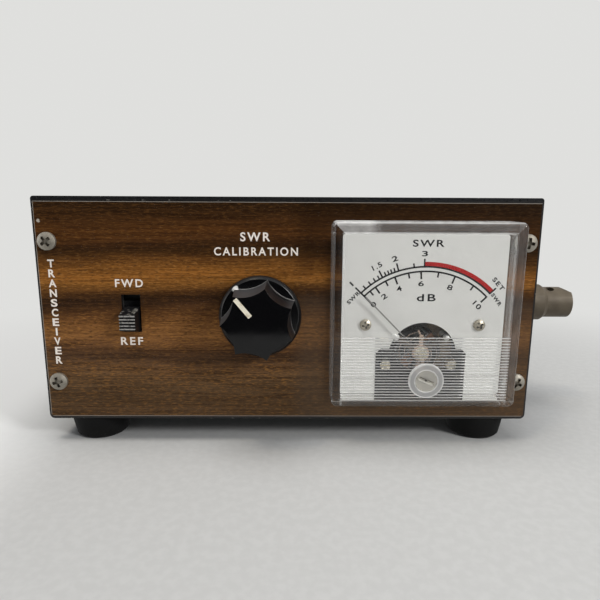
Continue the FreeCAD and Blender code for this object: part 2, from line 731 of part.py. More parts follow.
def pot_body():
    """Control can and its threaded bush, bored for the shaft."""
    back = PLATE_BACK + POT_DEPTH
    can = rod_y(POT_R, PLATE_BACK, back, KNOB_X, KNOB_Z)
    rim = edges_where(can, lambda e: e.CenterOfMass.y > back - 0.1)
    can = can.makeFillet(0.8, rim)
    bush = rod_y(BUSH_R, -BUSH_OUT, PLATE_BACK + 1, KNOB_X, KNOB_Z)
    half = POT_LUG_PITCH + POT_LUG_W
    tongue = box(
        KNOB_X - half, KNOB_X + half, POT_TONGUE_Y - POT_TONGUE_T, POT_TONGUE_Y,
        KNOB_Z - POT_R - POT_TONGUE_L, KNOB_Z - POT_R / 2,
    )
    bore = rod_y(SHAFT_R + SHAFT_GAP, -BUSH_OUT - 1, back - 1, KNOB_X, KNOB_Z)
    return joined([can, bush, tongue]).cut(bore)


def pot_shaft():
    back = PLATE_BACK + POT_DEPTH - 1 - SHAFT_GAP
    return rod_y(SHAFT_R, KNOB_BORE_WALL - KNOB_H, back, KNOB_X, KNOB_Z)


def pot_washer():
    ring = rod_y(POT_WASHER_R, -POT_WASHER_T, 0, KNOB_X, KNOB_Z)
    return ring.cut(rod_y(BUSH_R + BUSH_GAP, -2 * POT_WASHER_T, 1, KNOB_X, KNOB_Z))


def pot_nut():
    nut = hexagon(POT_NUT_AF, POT_NUT_T)
    nut = nut.cut(Part.makeCylinder(BUSH_R + THREAD_GAP, POT_NUT_T))
    return placed(nut, V(KNOB_X, -POT_WASHER_T, KNOB_Z), V(0, -1, 0), 10)


def pot_terminals():
    y0, y1 = POT_TONGUE_Y, POT_TONGUE_Y + POT_LUG_T
    top = KNOB_Z - POT_R - POT_LUG_T
    low = top - POT_LUG_L
    lugs = []
    for k in (-1, 0, 1):
        x = KNOB_X + k * POT_LUG_PITCH
        lug = box(x - POT_LUG_W / 2, x + POT_LUG_W / 2, y0, y1, low, top)
        lugs.append(lug.cut(rod_y(POT_LUG_W / 4, y0 - 1, y1 + 1, x, low + POT_LUG_W / 2)))
    return Part.makeCompound(lugs)


# ---- slide switch ----
def switch_frame():
    """Steel mounting strap with a folded can round the contact block."""
    y0 = PLATE_BACK
    strap = box(
        SWITCH_X - FRAME_W / 2, SWITCH_X + FRAME_W / 2, y0, y0 + FRAME_T,
        SWITCH_Z - FRAME_H / 2, SWITCH_Z + FRAME_H / 2,
    )
    corners = edges_where(strap, lambda e: runs_along(e, V(0, 1, 0)))
    strap = strap.makeFillet(FRAME_W / 4, corners)
    can = box(
        SWITCH_X - FRAME_W / 2, SWITCH_X + FRAME_W / 2, y0 + FRAME_T / 2, CAN_BACK,
        SWITCH_Z - CAN_H / 2, SWITCH_Z + CAN_H / 2,
    )
    inside = box(
        SWITCH_X - FRAME_W / 2 + CAN_WALL, SWITCH_X + FRAME_W / 2 - CAN_WALL,
        y0 + FRAME_T, CAN_BACK + 1,
        SWITCH_Z - CAN_H / 2 + CAN_WALL, SWITCH_Z + CAN_H / 2 - CAN_WALL,
    )
    slot = box(
        SWITCH_X - SLOT_W / 2, SWITCH_X + SLOT_W / 2, y0 - 1, y0 + FRAME_T + 1,
        SWITCH_Z - SLOT_H / 2, SWITCH_Z + SLOT_H / 2,
    )
    rivets = [
        rod_y(RIVET_R, y0 - 1, y0 + FRAME_T + 1, SWITCH_X, SWITCH_Z + s * RIVET_PITCH / 2)
        for s in (-1, 1)
    ]
    return strap.fuse(can).cut(inside).cut([slot] + rivets).removeSplitter()


def switch_rivets():
    head_t = 0.7
    y1 = PLATE_BACK + FRAME_T
    pieces = []
    for side in (-1, 1):
        z = SWITCH_Z + side * RIVET_PITCH / 2
        shank = rod_y(RIVET_R, TRIM_T, y1 + head_t / 2, SWITCH_X, z)
        head = rod_y(RIVET_R * 1.8, y1, y1 + head_t, SWITCH_X, z)
        pieces.append(joined([shank, head]))
    return Part.makeCompound(pieces)


def switch_body():
    """Insulating contact block that closes the can behind the sliding shoe."""
    front = SHOE_Y + SHOE_T + SHOE_GAP
    return box(
        SWITCH_X - FRAME_W / 2 + CAN_WALL, SWITCH_X + FRAME_W / 2 - CAN_WALL, front, CAN_BACK,
        SWITCH_Z - CAN_H / 2 + CAN_WALL, SWITCH_Z + CAN_H / 2 - CAN_WALL,
    )


def switch_actuator():
    """Sliding shoe and the ribbed, tapering finger piece that stands out of the slot."""
    shoe = box(
        SWITCH_X - SHOE_W / 2, SWITCH_X + SHOE_W / 2, SHOE_Y, SHOE_Y + SHOE_T,
        SLIDER_Z - SHOE_H / 2, SLIDER_Z + SHOE_H / 2,
    )
    root, face = SLIDER_ROOT_H / 2, SLIDER_FACE_H / 2
    side = [
        V(0, SHOE_Y + SHOE_T / 2, SLIDER_Z - root), V(0, 0, SLIDER_Z - root),
        V(0, -SLIDER_OUT, SLIDER_Z - face), V(0, -SLIDER_OUT, SLIDER_Z + face),
        V(0, 0, SLIDER_Z + root), V(0, SHOE_Y + SHOE_T / 2, SLIDER_Z + root),
    ]
    finger = Part.Face(Part.makePolygon(side + side[:1])).extrude(V(SLIDER_W, 0, 0))
    finger.translate(V(SWITCH_X - SLIDER_W / 2, 0, 0))
    pitch = SLIDER_FACE_H / SLIDER_RIBS
    grooves = [
        box(SWITCH_X - SLIDER_W, SWITCH_X + SLIDER_W, -SLIDER_OUT - 1, -SLIDER_OUT + RIB_DEPTH,
            SLIDER_Z - face + k * pitch - RIB_GAP / 2, SLIDER_Z - face + k * pitch + RIB_GAP / 2)
        for k in range(1, SLIDER_RIBS)
    ]
    return joined([shoe, finger]).cut(grooves)


def switch_terminals():
    lugs = []
    for column in (-1, 1):
        for row in (-1, 0, 1):
            x = SWITCH_X + column * FRAME_W / 4
            z = SWITCH_Z + row * CAN_H / 4
            lug = box(x - 0.2, x + 0.2, CAN_BACK, CAN_BACK + SWITCH_LUG_L, z - 0.8, z + 0.8)
            eye = rod_x(0.45, x - 1, x + 1, CAN_BACK + SWITCH_LUG_L - 1.2, z)
            lugs.append(lug.cut(eye))
    return Part.makeCompound(lugs)


# ---- meter case ----
def meter_cover():
    """Clear moulded cover: ribbed lower window, rounded edges, boss for the zero screw."""
    half = COVER_W / 2
    shell = box(
        METER_X - half, METER_X + half, -COVER_D, 0, COVER_Z0, COVER_Z0 + COVER_H
    )
    shell = shell.makeFillet(
        COVER_CORNER_R, edges_where(shell, lambda e: runs_along(e, V(0, 1, 0)))
    )
    shell = shell.makeFillet(
        COVER_EDGE_R, edges_where(shell, lambda e: e.BoundBox.YMax < -COVER_D + 0.01)
    )
    inside = box(
        METER_X - half + COVER_WALL, METER_X + half - COVER_WALL, WINDOW_BACK, 1,
        COVER_Z0 + COVER_FLOOR_WALL, COVER_Z0 + COVER_H - COVER_TOP_WALL,
    )
    inside = inside.makeFillet(
        COVER_INNER_R, edges_where(inside, lambda e: runs_along(e, V(0, 1, 0)))
    )
    shell = shell.cut(inside)
    x0 = METER_X - half + COVER_WALL
    length = COVER_W - 2 * COVER_WALL
    cuts = []
    for k in range(RIB_COUNT):
        z = COVER_Z0 + COVER_FLOOR_WALL + (k + 0.5) * RIB_PITCH
        vee = [
            V(x0, -COVER_D - 0.05, z - RIB_CUT_W / 2), V(x0, -COVER_D - 0.05, z + RIB_CUT_W / 2),
            V(x0, -COVER_D + RIB_CUT_D, z),
        ]
        cuts.append(Part.Face(Part.makePolygon(vee + vee[:1])).extrude(V(length, 0, 0)))
    shell = shell.cut(cuts)
    boss = rod_y(BOSS_R, ZERO_FACE, WINDOW_BACK, PIVOT_X, ZERO_Z)
    recess = rod_y(
        ZERO_HEAD_R + ZERO_HEAD_GAP, ZERO_FACE - 1, ZERO_FACE + ZERO_HEAD_T, PIVOT_X, ZERO_Z
    )
    hole = rod_y(ZERO_SHANK_R + ZERO_HEAD_GAP, -COVER_D - 2, 0, PIVOT_X, ZERO_Z)
    return shell.fuse(boss).cut([recess, hole])


def tray_outline(y0, y1):
    plate = box(METER_X - TRAY_HALF, METER_X + TRAY_HALF, y0, y1, TRAY_Z0, TRAY_Z1)
    return plate.makeFillet(
        COVER_INNER_R, edges_where(plate, lambda e: runs_along(e, V(0, 1, 0)))
    )


def meter_body():
    """Black moulded tray under the dial, with the round barrel that holds the movement."""
    tray = tray_outline(-TRAY_D, 0)
    barrel = rod_y(BARREL_R, 0, BARREL_D, METER_X, BARREL_Z)
    hollow = rod_y(
        BARREL_R - BARREL_WALL, -TRAY_D - 1, BARREL_D - BARREL_FLOOR, METER_X, BARREL_Z
    )
    bosses = [rod_y(EAR_R, RING_BACK, BARREL_D - 1, x, z) for x, z in EARS]
    bosses += [rod_y(DIAL_BOSS_R, -TRAY_D, DIAL_BOSS_D, x, z) for x, z in DIAL_SCREWS]
    body = joined([tray.fuse(barrel).cut(hollow)] + bosses)
    holes = [rod_y(M3_R, -TRAY_D + 1, 1, x, z) for x, z in STUDS]
    holes += [rod_y(SMALL_SCREW_R, -TRAY_D - 1, 1, x, z) for x, z in DIAL_SCREWS]
    holes += [rod_y(SMALL_SCREW_R, RING_BACK - 1, BARREL_D - BARREL_FLOOR, x, z) for x, z in EARS]
    holes += [rod_y(M3_R, BARREL_D - 3, BARREL_D + 1, x, z) for x, z in TERMINALS]
    return body.cut(holes)


def meter_studs():
    y0 = -TRAY_D + 1
    return Part.makeCompound([rod_y(M3_R, y0, y0 + STUD_L, x, z) for x, z in STUDS])


def meter_terminals():
    """Threaded terminal posts through the floor of the barrel, each with a solder tag."""
    pieces = []
    for x, z in TERMINALS:
        seat = BARREL_D + TAG_T
        post = rod_y(M3_R, BARREL_D - BARREL_FLOOR, seat + 2 * M3_NUT_T, x, z)
        nut = placed(hexagon(M3_NUT_AF, M3_NUT_T), V(x, seat, z), V(0, 1, 0), 30)
        tag = box(x - TAG_W / 2, x + TAG_W / 2, BARREL_D, seat, z, z + TAG_L)
        eye = rod_y(TAG_W, BARREL_D, seat, x, z)
        pieces.append(joined([post, nut, tag, eye]))
    return Part.makeCompound(pieces)


def dial_plate():
    """Thin sheet dial, cut away in an arch and a wide throat over the movement."""
    plate = tray_outline(DIAL_FACE, -TRAY_D)
    y0, y1 = DIAL_FACE - 1, -TRAY_D + 1
    arch = rod_y(ARCH_R, y0, y1, PIVOT_X, PIVOT_Z - ARCH_DROP)
    shoulder = PIVOT_Z + CUT_UP
    half = CUT_W / 2
    throat = [
        V(METER_X - half, y0, TRAY_Z0 - 1), V(METER_X - half, y0, shoulder),
        V(METER_X - half + CUT_FLARE, y0, shoulder + CUT_FLARE),
        V(METER_X + half - CUT_FLARE, y0, shoulder + CUT_FLARE),
        V(METER_X + half, y0, shoulder), V(METER_X + half, y0, TRAY_Z0 - 1),
    ]
    cut = Part.Face(Part.makePolygon(throat + throat[:1])).extrude(V(0, y1 - y0, 0))
    holes = [rod_y(SMALL_SCREW_R + 0.2, y0, y1, x, z) for x, z in DIAL_SCREWS]
    return plate.cut([arch.fuse(cut)] + holes)


def dial_screws():
    screw = pan_screw(SMALL_SCREW_R - THREAD_GAP, TRAY_D, SMALL_HEAD_R, SMALL_HEAD_H)
    return Part.makeCompound([
        placed(screw, V(x, DIAL_FACE, z), V(0, -1, 0), 12 + 20 * k)
        for k, (x, z) in enumerate(DIAL_SCREWS)
    ])


# ---- meter movement ----
def yoke_ring():
    """Soft-iron ring round the coil, with two ears for the screws that hold it."""
    ring = rod_y(RING_R, RING_Y, RING_BACK, PIVOT_X, PIVOT_Z)
    ears = [rod_y(EAR_R, EAR_Y, RING_BACK, x, z) for x, z in EARS]
    bore = rod_y(GAP_R, EAR_Y - 1, RING_BACK + 1, PIVOT_X, PIVOT_Z)
    holes = [rod_y(SMALL_SCREW_R + 0.1, EAR_Y - 1, RING_BACK + 1, x, z) for x, z in EARS]
    return joined([ring] + ears).cut([bore] + holes)


def core_magnet():
    return rod_y(CORE_R, RING_Y - CORE_OVER, RING_BACK + CORE_OVER, PIVOT_X, PIVOT_Z)


def core_spacers():
    """Brass keys above and below that centre the core in the ring."""
    y0, y1 = RING_Y + 1, RING_BACK - 1
    gap = rod_y(GAP_R, y0, y1, PIVOT_X, PIVOT_Z).cut(
        rod_y(CORE_R, y0 - 1, y1 + 1, PIVOT_X, PIVOT_Z)
    )
    strip = box(
        PIVOT_X - SPACER_W / 2, PIVOT_X + SPACER_W / 2, y0, y1,
        PIVOT_Z - GAP_R - 1, PIVOT_Z + GAP_R + 1,
    )
    return Part.makeCompound(gap.common(strip).Solids)


def coil_loop(inner_r, thickness, width, end_gap):
    """A flat rectangular loop round the core, lying across the needle."""
    y0 = RING_Y - CORE_OVER - end_gap
    y1 = RING_BACK + CORE_OVER + end_gap
    outer_r = inner_r + thickness
    half = width / 2
    loop = box(-outer_r, outer_r, y0 - thickness, y1 + thickness, -half, half)
    loop = loop.cut(box(-inner_r, inner_r, y0, y1, -width, width))
    return loop


def on_needle(shape):
    """Modelled for a needle pointing straight up: turned to rest and set on the pivot."""
    turn = FreeCAD.Rotation(V(0, 1, 0), -NEEDLE_REST)
    return moved_by(shape, V(PIVOT_X, 0, PIVOT_Z), turn)


def coil_former():
    """Aluminium former with the steel pivot staffs cemented to its ends."""
    loop = coil_loop(FORMER_R, FORMER_T, FORMER_W, COIL_END_GAP)
    front = RING_Y - CORE_OVER - COIL_END_GAP
    back = RING_BACK + CORE_OVER + COIL_END_GAP
    front_staff = rod_y(STAFF_R, BRIDGE_Y + PIVOT_GAP, front, 0, 0)
    rear_staff = rod_y(STAFF_R, back, REAR_BRIDGE_Y + REAR_BRIDGE_T / 2, 0, 0)
    return on_needle(joined([loop, front_staff, rear_staff]))


def coil_winding():
    gap = COIL_END_GAP + FORMER_T
    loop = coil_loop(FORMER_R + FORMER_T, WINDING_T, WINDING_W, gap)
    staff = rod_y(STAFF_R, BRIDGE_Y, REAR_BRIDGE_Y, 0, 0)
    return on_needle(loop.cut(staff))


def needle():
    """Collet, cross arms with balance weights, and a blade cranked forward over the dial."""
    y_hub = HUB_Y + HUB_T / 2
    y_tip = DIAL_FACE - NEEDLE_FRONT
    half_t = NEEDLE_T / 2
    centre = [(0, y_hub), (NEEDLE_RISE_R, y_hub), (NEEDLE_OUT_R, y_tip), (NEEDLE_TIP_R, y_tip)]
    front = [V(-NEEDLE_W / 2, y - half_t, r) for r, y in centre]
    back = [V(-NEEDLE_W / 2, y + half_t, r) for r, y in reversed(centre)]
    blade = Part.Face(Part.makePolygon(front + back + front[:1])).extrude(V(NEEDLE_W, 0, 0))
    collet = rod_y(HUB_R, -SPRING_W / 2, HUB_Y + HUB_T, 0, 0)
    tail = box(-0.3, 0.3, y_hub - half_t, y_hub + half_t, -TAIL_R, 0)
    cross = box(-TAIL_R, TAIL_R, y_hub - half_t, y_hub + half_t, -0.3, 0.3)
    weights = [
        Part.makeCylinder(WEIGHT_R, WEIGHT_L, V(x, y_hub, z), V(dx, 0, dz))
        for x, z, dx, dz in (
            (0, -TAIL_R, 0, 1), (-TAIL_R, 0, 1, 0), (TAIL_R, 0, -1, 0)
        )
    ]
    bore = rod_y(STAFF_R, -SPRING_W, HUB_Y + HUB_T + 1, 0, 0)
    return on_needle(joined([collet, blade, tail, cross] + weights).cut(bore))


def bridge_pillars():
    """Spacers on the ring that carry the front bridge, with bright rounded heads."""
    pieces = []
    for x, z in PILLARS:
        post = rod_y(PILLAR_R, BRIDGE_Y + BRIDGE_T, RING_Y, x, z)
        neck = rod_y(PILLAR_R / 2, BRIDGE_Y, BRIDGE_Y + BRIDGE_T, x, z)
        head = rod_y(PILLAR_HEAD_R, BRIDGE_Y - PILLAR_HEAD_H, BRIDGE_Y, x, z)
        crown = edges_where(head, lambda e: e.BoundBox.YMax < BRIDGE_Y - PILLAR_HEAD_H / 2)
        pieces.append(joined([post, neck, head.makeFillet(0.5 * PILLAR_HEAD_H, crown)]))
    return Part.makeCompound(pieces)


def front_bridge():
    """Two arms from the pillars that meet in the plate over the front pivot."""
    y0, y1 = BRIDGE_Y, BRIDGE_Y + BRIDGE_T
    reach = math.hypot(PILLAR_X, PILLAR_UP)
    angle = math.degrees(math.atan2(PILLAR_X, PILLAR_UP))
    pieces = [rod_y(BRIDGE_HUB_R, y0, y1, PIVOT_X, PIVOT_Z)]
    for side in (-1, 1):
        arm = box(-BRIDGE_ARM_W / 2, BRIDGE_ARM_W / 2, y0, y1, 0, reach)
        arm.Placement = FreeCAD.Placement(
            V(PIVOT_X, 0, PIVOT_Z), FreeCAD.Rotation(V(0, 1, 0), side * angle)
        )
        x = PIVOT_X + side * PILLAR_X
        pieces += [arm, rod_y(PILLAR_HEAD_R, y0, y1, x, PIVOT_Z + PILLAR_UP)]
    holes = [rod_y(PILLAR_R / 2, y0 - 1, y1 + 1, x, z) for x, z in PILLARS]
    holes.append(rod_y(JEWEL_R - 0.4, y0 - 1, y1 + 1, PIVOT_X, PIVOT_Z))
    return joined(pieces).cut(holes)


def jewel_screw():
    """Brass pivot screw in the bridge: its boss is the bearing of the zero arm."""
    boss_front = BRIDGE_Y - ARM_T - 2 * ARM_GAP
    cap = rod_y(JEWEL_CAP_R, boss_front - JEWEL_CAP_T, boss_front, PIVOT_X, PIVOT_Z)
    boss = rod_y(JEWEL_R, boss_front, BRIDGE_Y, PIVOT_X, PIVOT_Z)
    thread = rod_y(JEWEL_R - 0.4, BRIDGE_Y, BRIDGE_Y + BRIDGE_T, PIVOT_X, PIVOT_Z)
    bore = rod_y(
        STAFF_R + PIVOT_GAP, BRIDGE_Y, BRIDGE_Y + BRIDGE_T + 1, PIVOT_X, PIVOT_Z
    )
    slot = box(
        PIVOT_X - JEWEL_CAP_R - 1, PIVOT_X + JEWEL_CAP_R + 1,
        boss_front - JEWEL_CAP_T - 1, boss_front - JEWEL_CAP_T / 2,
        PIVOT_Z - 0.25, PIVOT_Z + 0.25,
    )
    return joined([cap, boss, thread]).cut([bore, slot])


def rear_bridge():
    y0, y1 = REAR_BRIDGE_Y, REAR_BRIDGE_Y + REAR_BRIDGE_T
    strap = box(
        PIVOT_X - REAR_LEG_X, PIVOT_X + REAR_LEG_X, y0, y1,
        PIVOT_Z - REAR_LEG_R, PIVOT_Z + REAR_LEG_R,
    )
    legs = [
        rod_y(REAR_LEG_R, RING_BACK, y1, PIVOT_X + side * REAR_LEG_X, PIVOT_Z)
        for side in (-1, 1)
    ]
    bore = rod_y(STAFF_R + PIVOT_GAP, y0 - 1, y1 - REAR_BRIDGE_T / 3, PIVOT_X, PIVOT_Z)
    return joined([strap] + legs).cut(bore)


def frame_screws():
    """Brass cheese-head screws through the ears of the ring into the barrel's bosses."""
    pieces = []
    for x, z in EARS:
        top = EAR_Y - CHEESE_HEAD_H
        head = rod_y(CHEESE_HEAD_R, top, EAR_Y, x, z)
        shank = rod_y(SMALL_SCREW_R, EAR_Y - 0.1, RING_BACK + CHEESE_SCREW_REACH, x, z)
        slot = box(x - 2, x + 2, top - 1, top + CHEESE_HEAD_H / 2, z - 0.25, z + 0.25)
        pieces.append(joined([head, shank]).cut(slot))
    return Part.makeCompound(pieces)


def hairspring():
    """Flat spiral of half circles that grow outwards, between the bridge and the hub."""
    outer, inner = [], []
    x, radius, side = 0.0, HUB_R, 1
    for k in range(SPRING_HALF_TURNS):
        for edges, r in ((inner, radius), (outer, radius + SPRING_T)):
            edges.append(Part.Arc(
                V(x - side * r, 0, 0), V(x, 0, side * r), V(x + side * r, 0, 0)
            ).toShape())
        x -= side * SPRING_STEP
        radius += SPRING_STEP
        side = -side
    caps = []
    for index in (0, -1):
        vertex = 0 if index == 0 else -1
        a = inner[index].Vertexes[vertex].Point
        b = outer[index].Vertexes[vertex].Point
        caps.append(Part.LineSegment(a, b).toShape())
    outline = Part.Wire(Part.__sortEdges__(inner + outer + caps))
    strip = Part.Face(outline).extrude(V(0, SPRING_W, 0))
    strip.translate(V(0, -SPRING_W / 2, 0))
    strip.rotate(V(0, 0, 0), V(0, 1, 0), -90)
    strip.translate(V(PIVOT_X, 0, PIVOT_Z))
    return strip


def zero_arm():
    """Lever on the jewel screw: forked below for the crank pin, hooked above the spring."""
    y0 = BRIDGE_Y - ARM_GAP - ARM_T
    y1 = BRIDGE_Y - ARM_GAP
    ring = rod_y(JEWEL_R + 1.1, y0, y1, PIVOT_X, PIVOT_Z)
    tail = box(
        PIVOT_X - ARM_W / 2, PIVOT_X + ARM_W / 2, y0, y1,
        PIVOT_Z - ZERO_DROP + CRANK - 1.4, PIVOT_Z,
    )
    neck = box(
        PIVOT_X - ARM_NECK_W / 2, PIVOT_X + ARM_NECK_W / 2, y0, y1,
        PIVOT_Z, PIVOT_Z + ARM_NECK_R,
    )
    lug = box(-LUG_W / 2, LUG_W / 2, y0, y1, 0, LUG_L)
    hook_z = SPRING_TOP + HOOK_GAP - ARM_NECK_R + 1.5 * LUG_W
    lug = lug.fuse(box(-LUG_W / 2, LUG_W / 2, y0, SPRING_W / 2, hook_z, hook_z + LUG_W))
    lug.Placement = FreeCAD.Placement(
        V(PIVOT_X, 0, PIVOT_Z + ARM_NECK_R - LUG_W), FreeCAD.Rotation(V(0, 1, 0), -LUG_LEAN)
    )
    hole = rod_y(JEWEL_R + PIVOT_GAP, y0 - 1, y1 + 1, PIVOT_X, PIVOT_Z)
    half = CRANK_R + FORK_GAP
    fork = box(
        PIVOT_X - half, PIVOT_X + half, y0 - 1, y1 + 1,
        PIVOT_Z - ZERO_DROP - 2, PIVOT_Z - ZERO_DROP + CRANK + 1.0,
    )
    return joined([ring, tail, neck, lug]).cut([hole, fork])


def zero_screw():
    """Slotted screw in the window; a crank pin on its inner end moves the zero arm."""
    head = rod_y(ZERO_HEAD_R, ZERO_FACE, ZERO_FACE + ZERO_HEAD_T, PIVOT_X, ZERO_Z)
    shank = rod_y(ZERO_SHANK_R, ZERO_FACE + 0.5, WINDOW_BACK + 1, PIVOT_X, ZERO_Z)
    collar = rod_y(
        ZERO_COLLAR_R, WINDOW_BACK + ZERO_HEAD_GAP,
        WINDOW_BACK + ZERO_HEAD_GAP + ZERO_COLLAR_T, PIVOT_X, ZERO_Z,
    )
    pin = rod_y(CRANK_R, WINDOW_BACK, BRIDGE_Y, PIVOT_X, ZERO_Z + CRANK)
    slot = box(
        -ZERO_HEAD_R - 1, ZERO_HEAD_R + 1, ZERO_FACE - 1, ZERO_FACE + ZERO_SLOT_D,
        -ZERO_SLOT_W / 2, ZERO_SLOT_W / 2,
    )
    slot.Placement = FreeCAD.Placement(
        V(PIVOT_X, 0, ZERO_Z), FreeCAD.Rotation(V(0, 1, 0), ZERO_SLOT_TILT)
    )
    return joined([head, shank, collar, pin]).cut(slot)


# ---- sockets, plug and the line between them ----
def socket_shell():
    """Square-flanged socket body along +X, its flange seated on the case side."""
    flange = box(
        SHELL_HALF, SHELL_HALF + SOCKET_FLANGE_T,
        SOCKET_Y - SOCKET_FLANGE / 2, SOCKET_Y + SOCKET_FLANGE / 2,
        SOCKET_Z - SOCKET_FLANGE / 2, SOCKET_Z + SOCKET_FLANGE / 2,
    )
    flange = flange.makeFillet(
        BEND_R, edges_where(flange, lambda e: runs_along(e, V(1, 0, 0)))
    )
    barrel = rod_x(SOCKET_THREAD_R, SHELL_HALF, SOCKET_RIM, SOCKET_Y, SOCKET_Z)
    rear = rod_x(SOCKET_REAR_R, SOCKET_REAR, SHELL_HALF + 1, SOCKET_Y, SOCKET_Z)
    mouth = rod_x(SOCKET_MOUTH_R, INSULATOR_FACE, SOCKET_RIM + 1, SOCKET_Y, SOCKET_Z)
    seat = rod_x(INSULATOR_R, SOCKET_REAR - 1, SOCKET_RIM, SOCKET_Y, SOCKET_Z)
    holes = [
        rod_x(M3_R + M3_CLEAR, SHELL_HALF - 1, SHELL_HALF + SOCKET_FLANGE_T + 1, y, z)
        for y, z in socket_hole_points()
    ]
    reach = SOCKET_FLANGE / 2
    notches = [
        box(SOCKET_RIM - NOTCH_D, SOCKET_RIM + 1, SOCKET_Y - across, SOCKET_Y + across,
            SOCKET_Z - upright, SOCKET_Z + upright)
        for across, upright in ((NOTCH_W / 2, reach), (reach, NOTCH_W / 2))
    ]
    body = joined([flange, barrel, rear])
    body = body.cut([mouth.fuse(seat)] + holes)
    return body.cut(notches[0].fuse(notches[1]))


def socket_insulator():
    body = rod_x(INSULATOR_R, SOCKET_REAR, INSULATOR_FACE, SOCKET_Y, SOCKET_Z)
    return body.cut(rod_x(CONTACT_R, 0, SOCKET_RIM, SOCKET_Y, SOCKET_Z))


def socket_contact():
    """Tubular centre contact, bored for a plug pin outside and for the line inside."""
    start = SOCKET_REAR - CONTACT_OUT
    body = rod_x(CONTACT_R, start, INSULATOR_FACE, SOCKET_Y, SOCKET_Z)
    bore = rod_x(
        CONTACT_BORE_R, INSULATOR_FACE - CONTACT_BORE_L, INSULATOR_FACE + 1, SOCKET_Y, SOCKET_Z
    )
    cup = rod_x(LINE_R, start - 1, start + CONTACT_OUT, SOCKET_Y, SOCKET_Z)
    return body.cut([bore, cup])


def mirrored(shape):
    return shape.mirror(V(0, 0, 0), V(1, 0, 0))


def socket_insulators():
    piece = socket_insulator()
    return Part.makeCompound([mirrored(piece), piece])


def socket_contacts():
    piece = socket_contact()
    return Part.makeCompound([mirrored(piece), piece])


def long_screws():
    """The longer screws, through the feet and through the socket flanges."""
    screw = m3_screw(LONG_SCREW_L)
    seat = FOOT_HEIGHT - FOOT_SEAT_T
    pieces = [placed(screw, V(x, y, seat), V(0, 0, -1)) for x, y in FEET.values()]
    x = SHELL_HALF + SOCKET_FLANGE_T
    for side in (-1, 1):
        pieces += [
            placed(screw, V(side * x, y, z), V(side, 0, 0), 25 * k)
            for k, (y, z) in enumerate(socket_hole_points())
        ]
    return Part.makeCompound(pieces)


def plug_body():
    """Plug body in the right socket: nose, shoulder, neck and hollow solder barrel."""
    nose_r = SOCKET_MOUTH_R - PLUG_NOSE_GAP
    nose_start = INSULATOR_FACE + 0.2
    bore_start = PLUG_SHOULDER_END + PLUG_WEB
    body = turned([
        (INSULATOR_R, nose_start), (nose_r, nose_start), (nose_r, SOCKET_RIM),
        (PLUG_SHOULDER_R, SOCKET_RIM), (PLUG_SHOULDER_R, PLUG_SHOULDER_END),
        (PLUG_NECK_R, PLUG_SHOULDER_END), (PLUG_NECK_R, PLUG_NECK_END),
        (PLUG_BARREL_R, PLUG_CONE_END), (PLUG_BARREL_R, PLUG_END),
        (PLUG_BORE_R, PLUG_END), (PLUG_BORE_R, bore_start),
        (CONTACT_BORE_R, bore_start), (CONTACT_BORE_R, PLUG_SHOULDER_END),
        (INSULATOR_R, PLUG_SHOULDER_END),
    ])
    body = placed(body, V(0, SOCKET_Y, SOCKET_Z), V(1, 0, 0))
    hole_x = PLUG_CONE_END + SOLDER_HOLE_IN
    reach = PLUG_BARREL_R + 2
    holes = rod_z(SOLDER_HOLE_R, SOCKET_Z - reach, SOCKET_Z + reach, hole_x, SOCKET_Y)
    holes.rotate(V(hole_x, SOCKET_Y, SOCKET_Z), V(1, 0, 0), SOLDER_HOLE_TURN)
    top = SOCKET_Z + PLUG_BARREL_R
    wedge = [
        V(PLUG_END - PLUG_FLAT_START, 0, top), V(PLUG_END + 1, 0, top),
        V(PLUG_END + 1, 0, top - PLUG_FLAT_DROP * (1 + 1 / PLUG_FLAT_START)),
    ]
    flat = Part.Face(Part.makePolygon(wedge + wedge[:1])).extrude(V(0, CASE_DEPTH, 0))
    return body.cut(holes).cut(flat)


def plug_insulator():
    start, end = INSULATOR_FACE + 0.2, PLUG_SHOULDER_END
    body = rod_x(INSULATOR_R, start, end, SOCKET_Y, SOCKET_Z)
    pin_r = CONTACT_BORE_R - PLUG_PIN_GAP
    return body.cut(rod_x(pin_r, start - 1, end + 1, SOCKET_Y, SOCKET_Z))


def plug_pin():
    """Hollow centre pin with a rounded tip."""
    tip = INSULATOR_FACE - CONTACT_BORE_L + 0.8
    end = PLUG_SHOULDER_END
    radius = CONTACT_BORE_R - PLUG_PIN_GAP
    pin = rod_x(radius, tip, end, SOCKET_Y, SOCKET_Z)
    pin = pin.makeFillet(0.8, edges_where(pin, lambda e: e.CenterOfMass.x < tip + 0.1))
    return pin.cut(rod_x(radius / 2, tip - 1, end + 1, SOCKET_Y, SOCKET_Z))


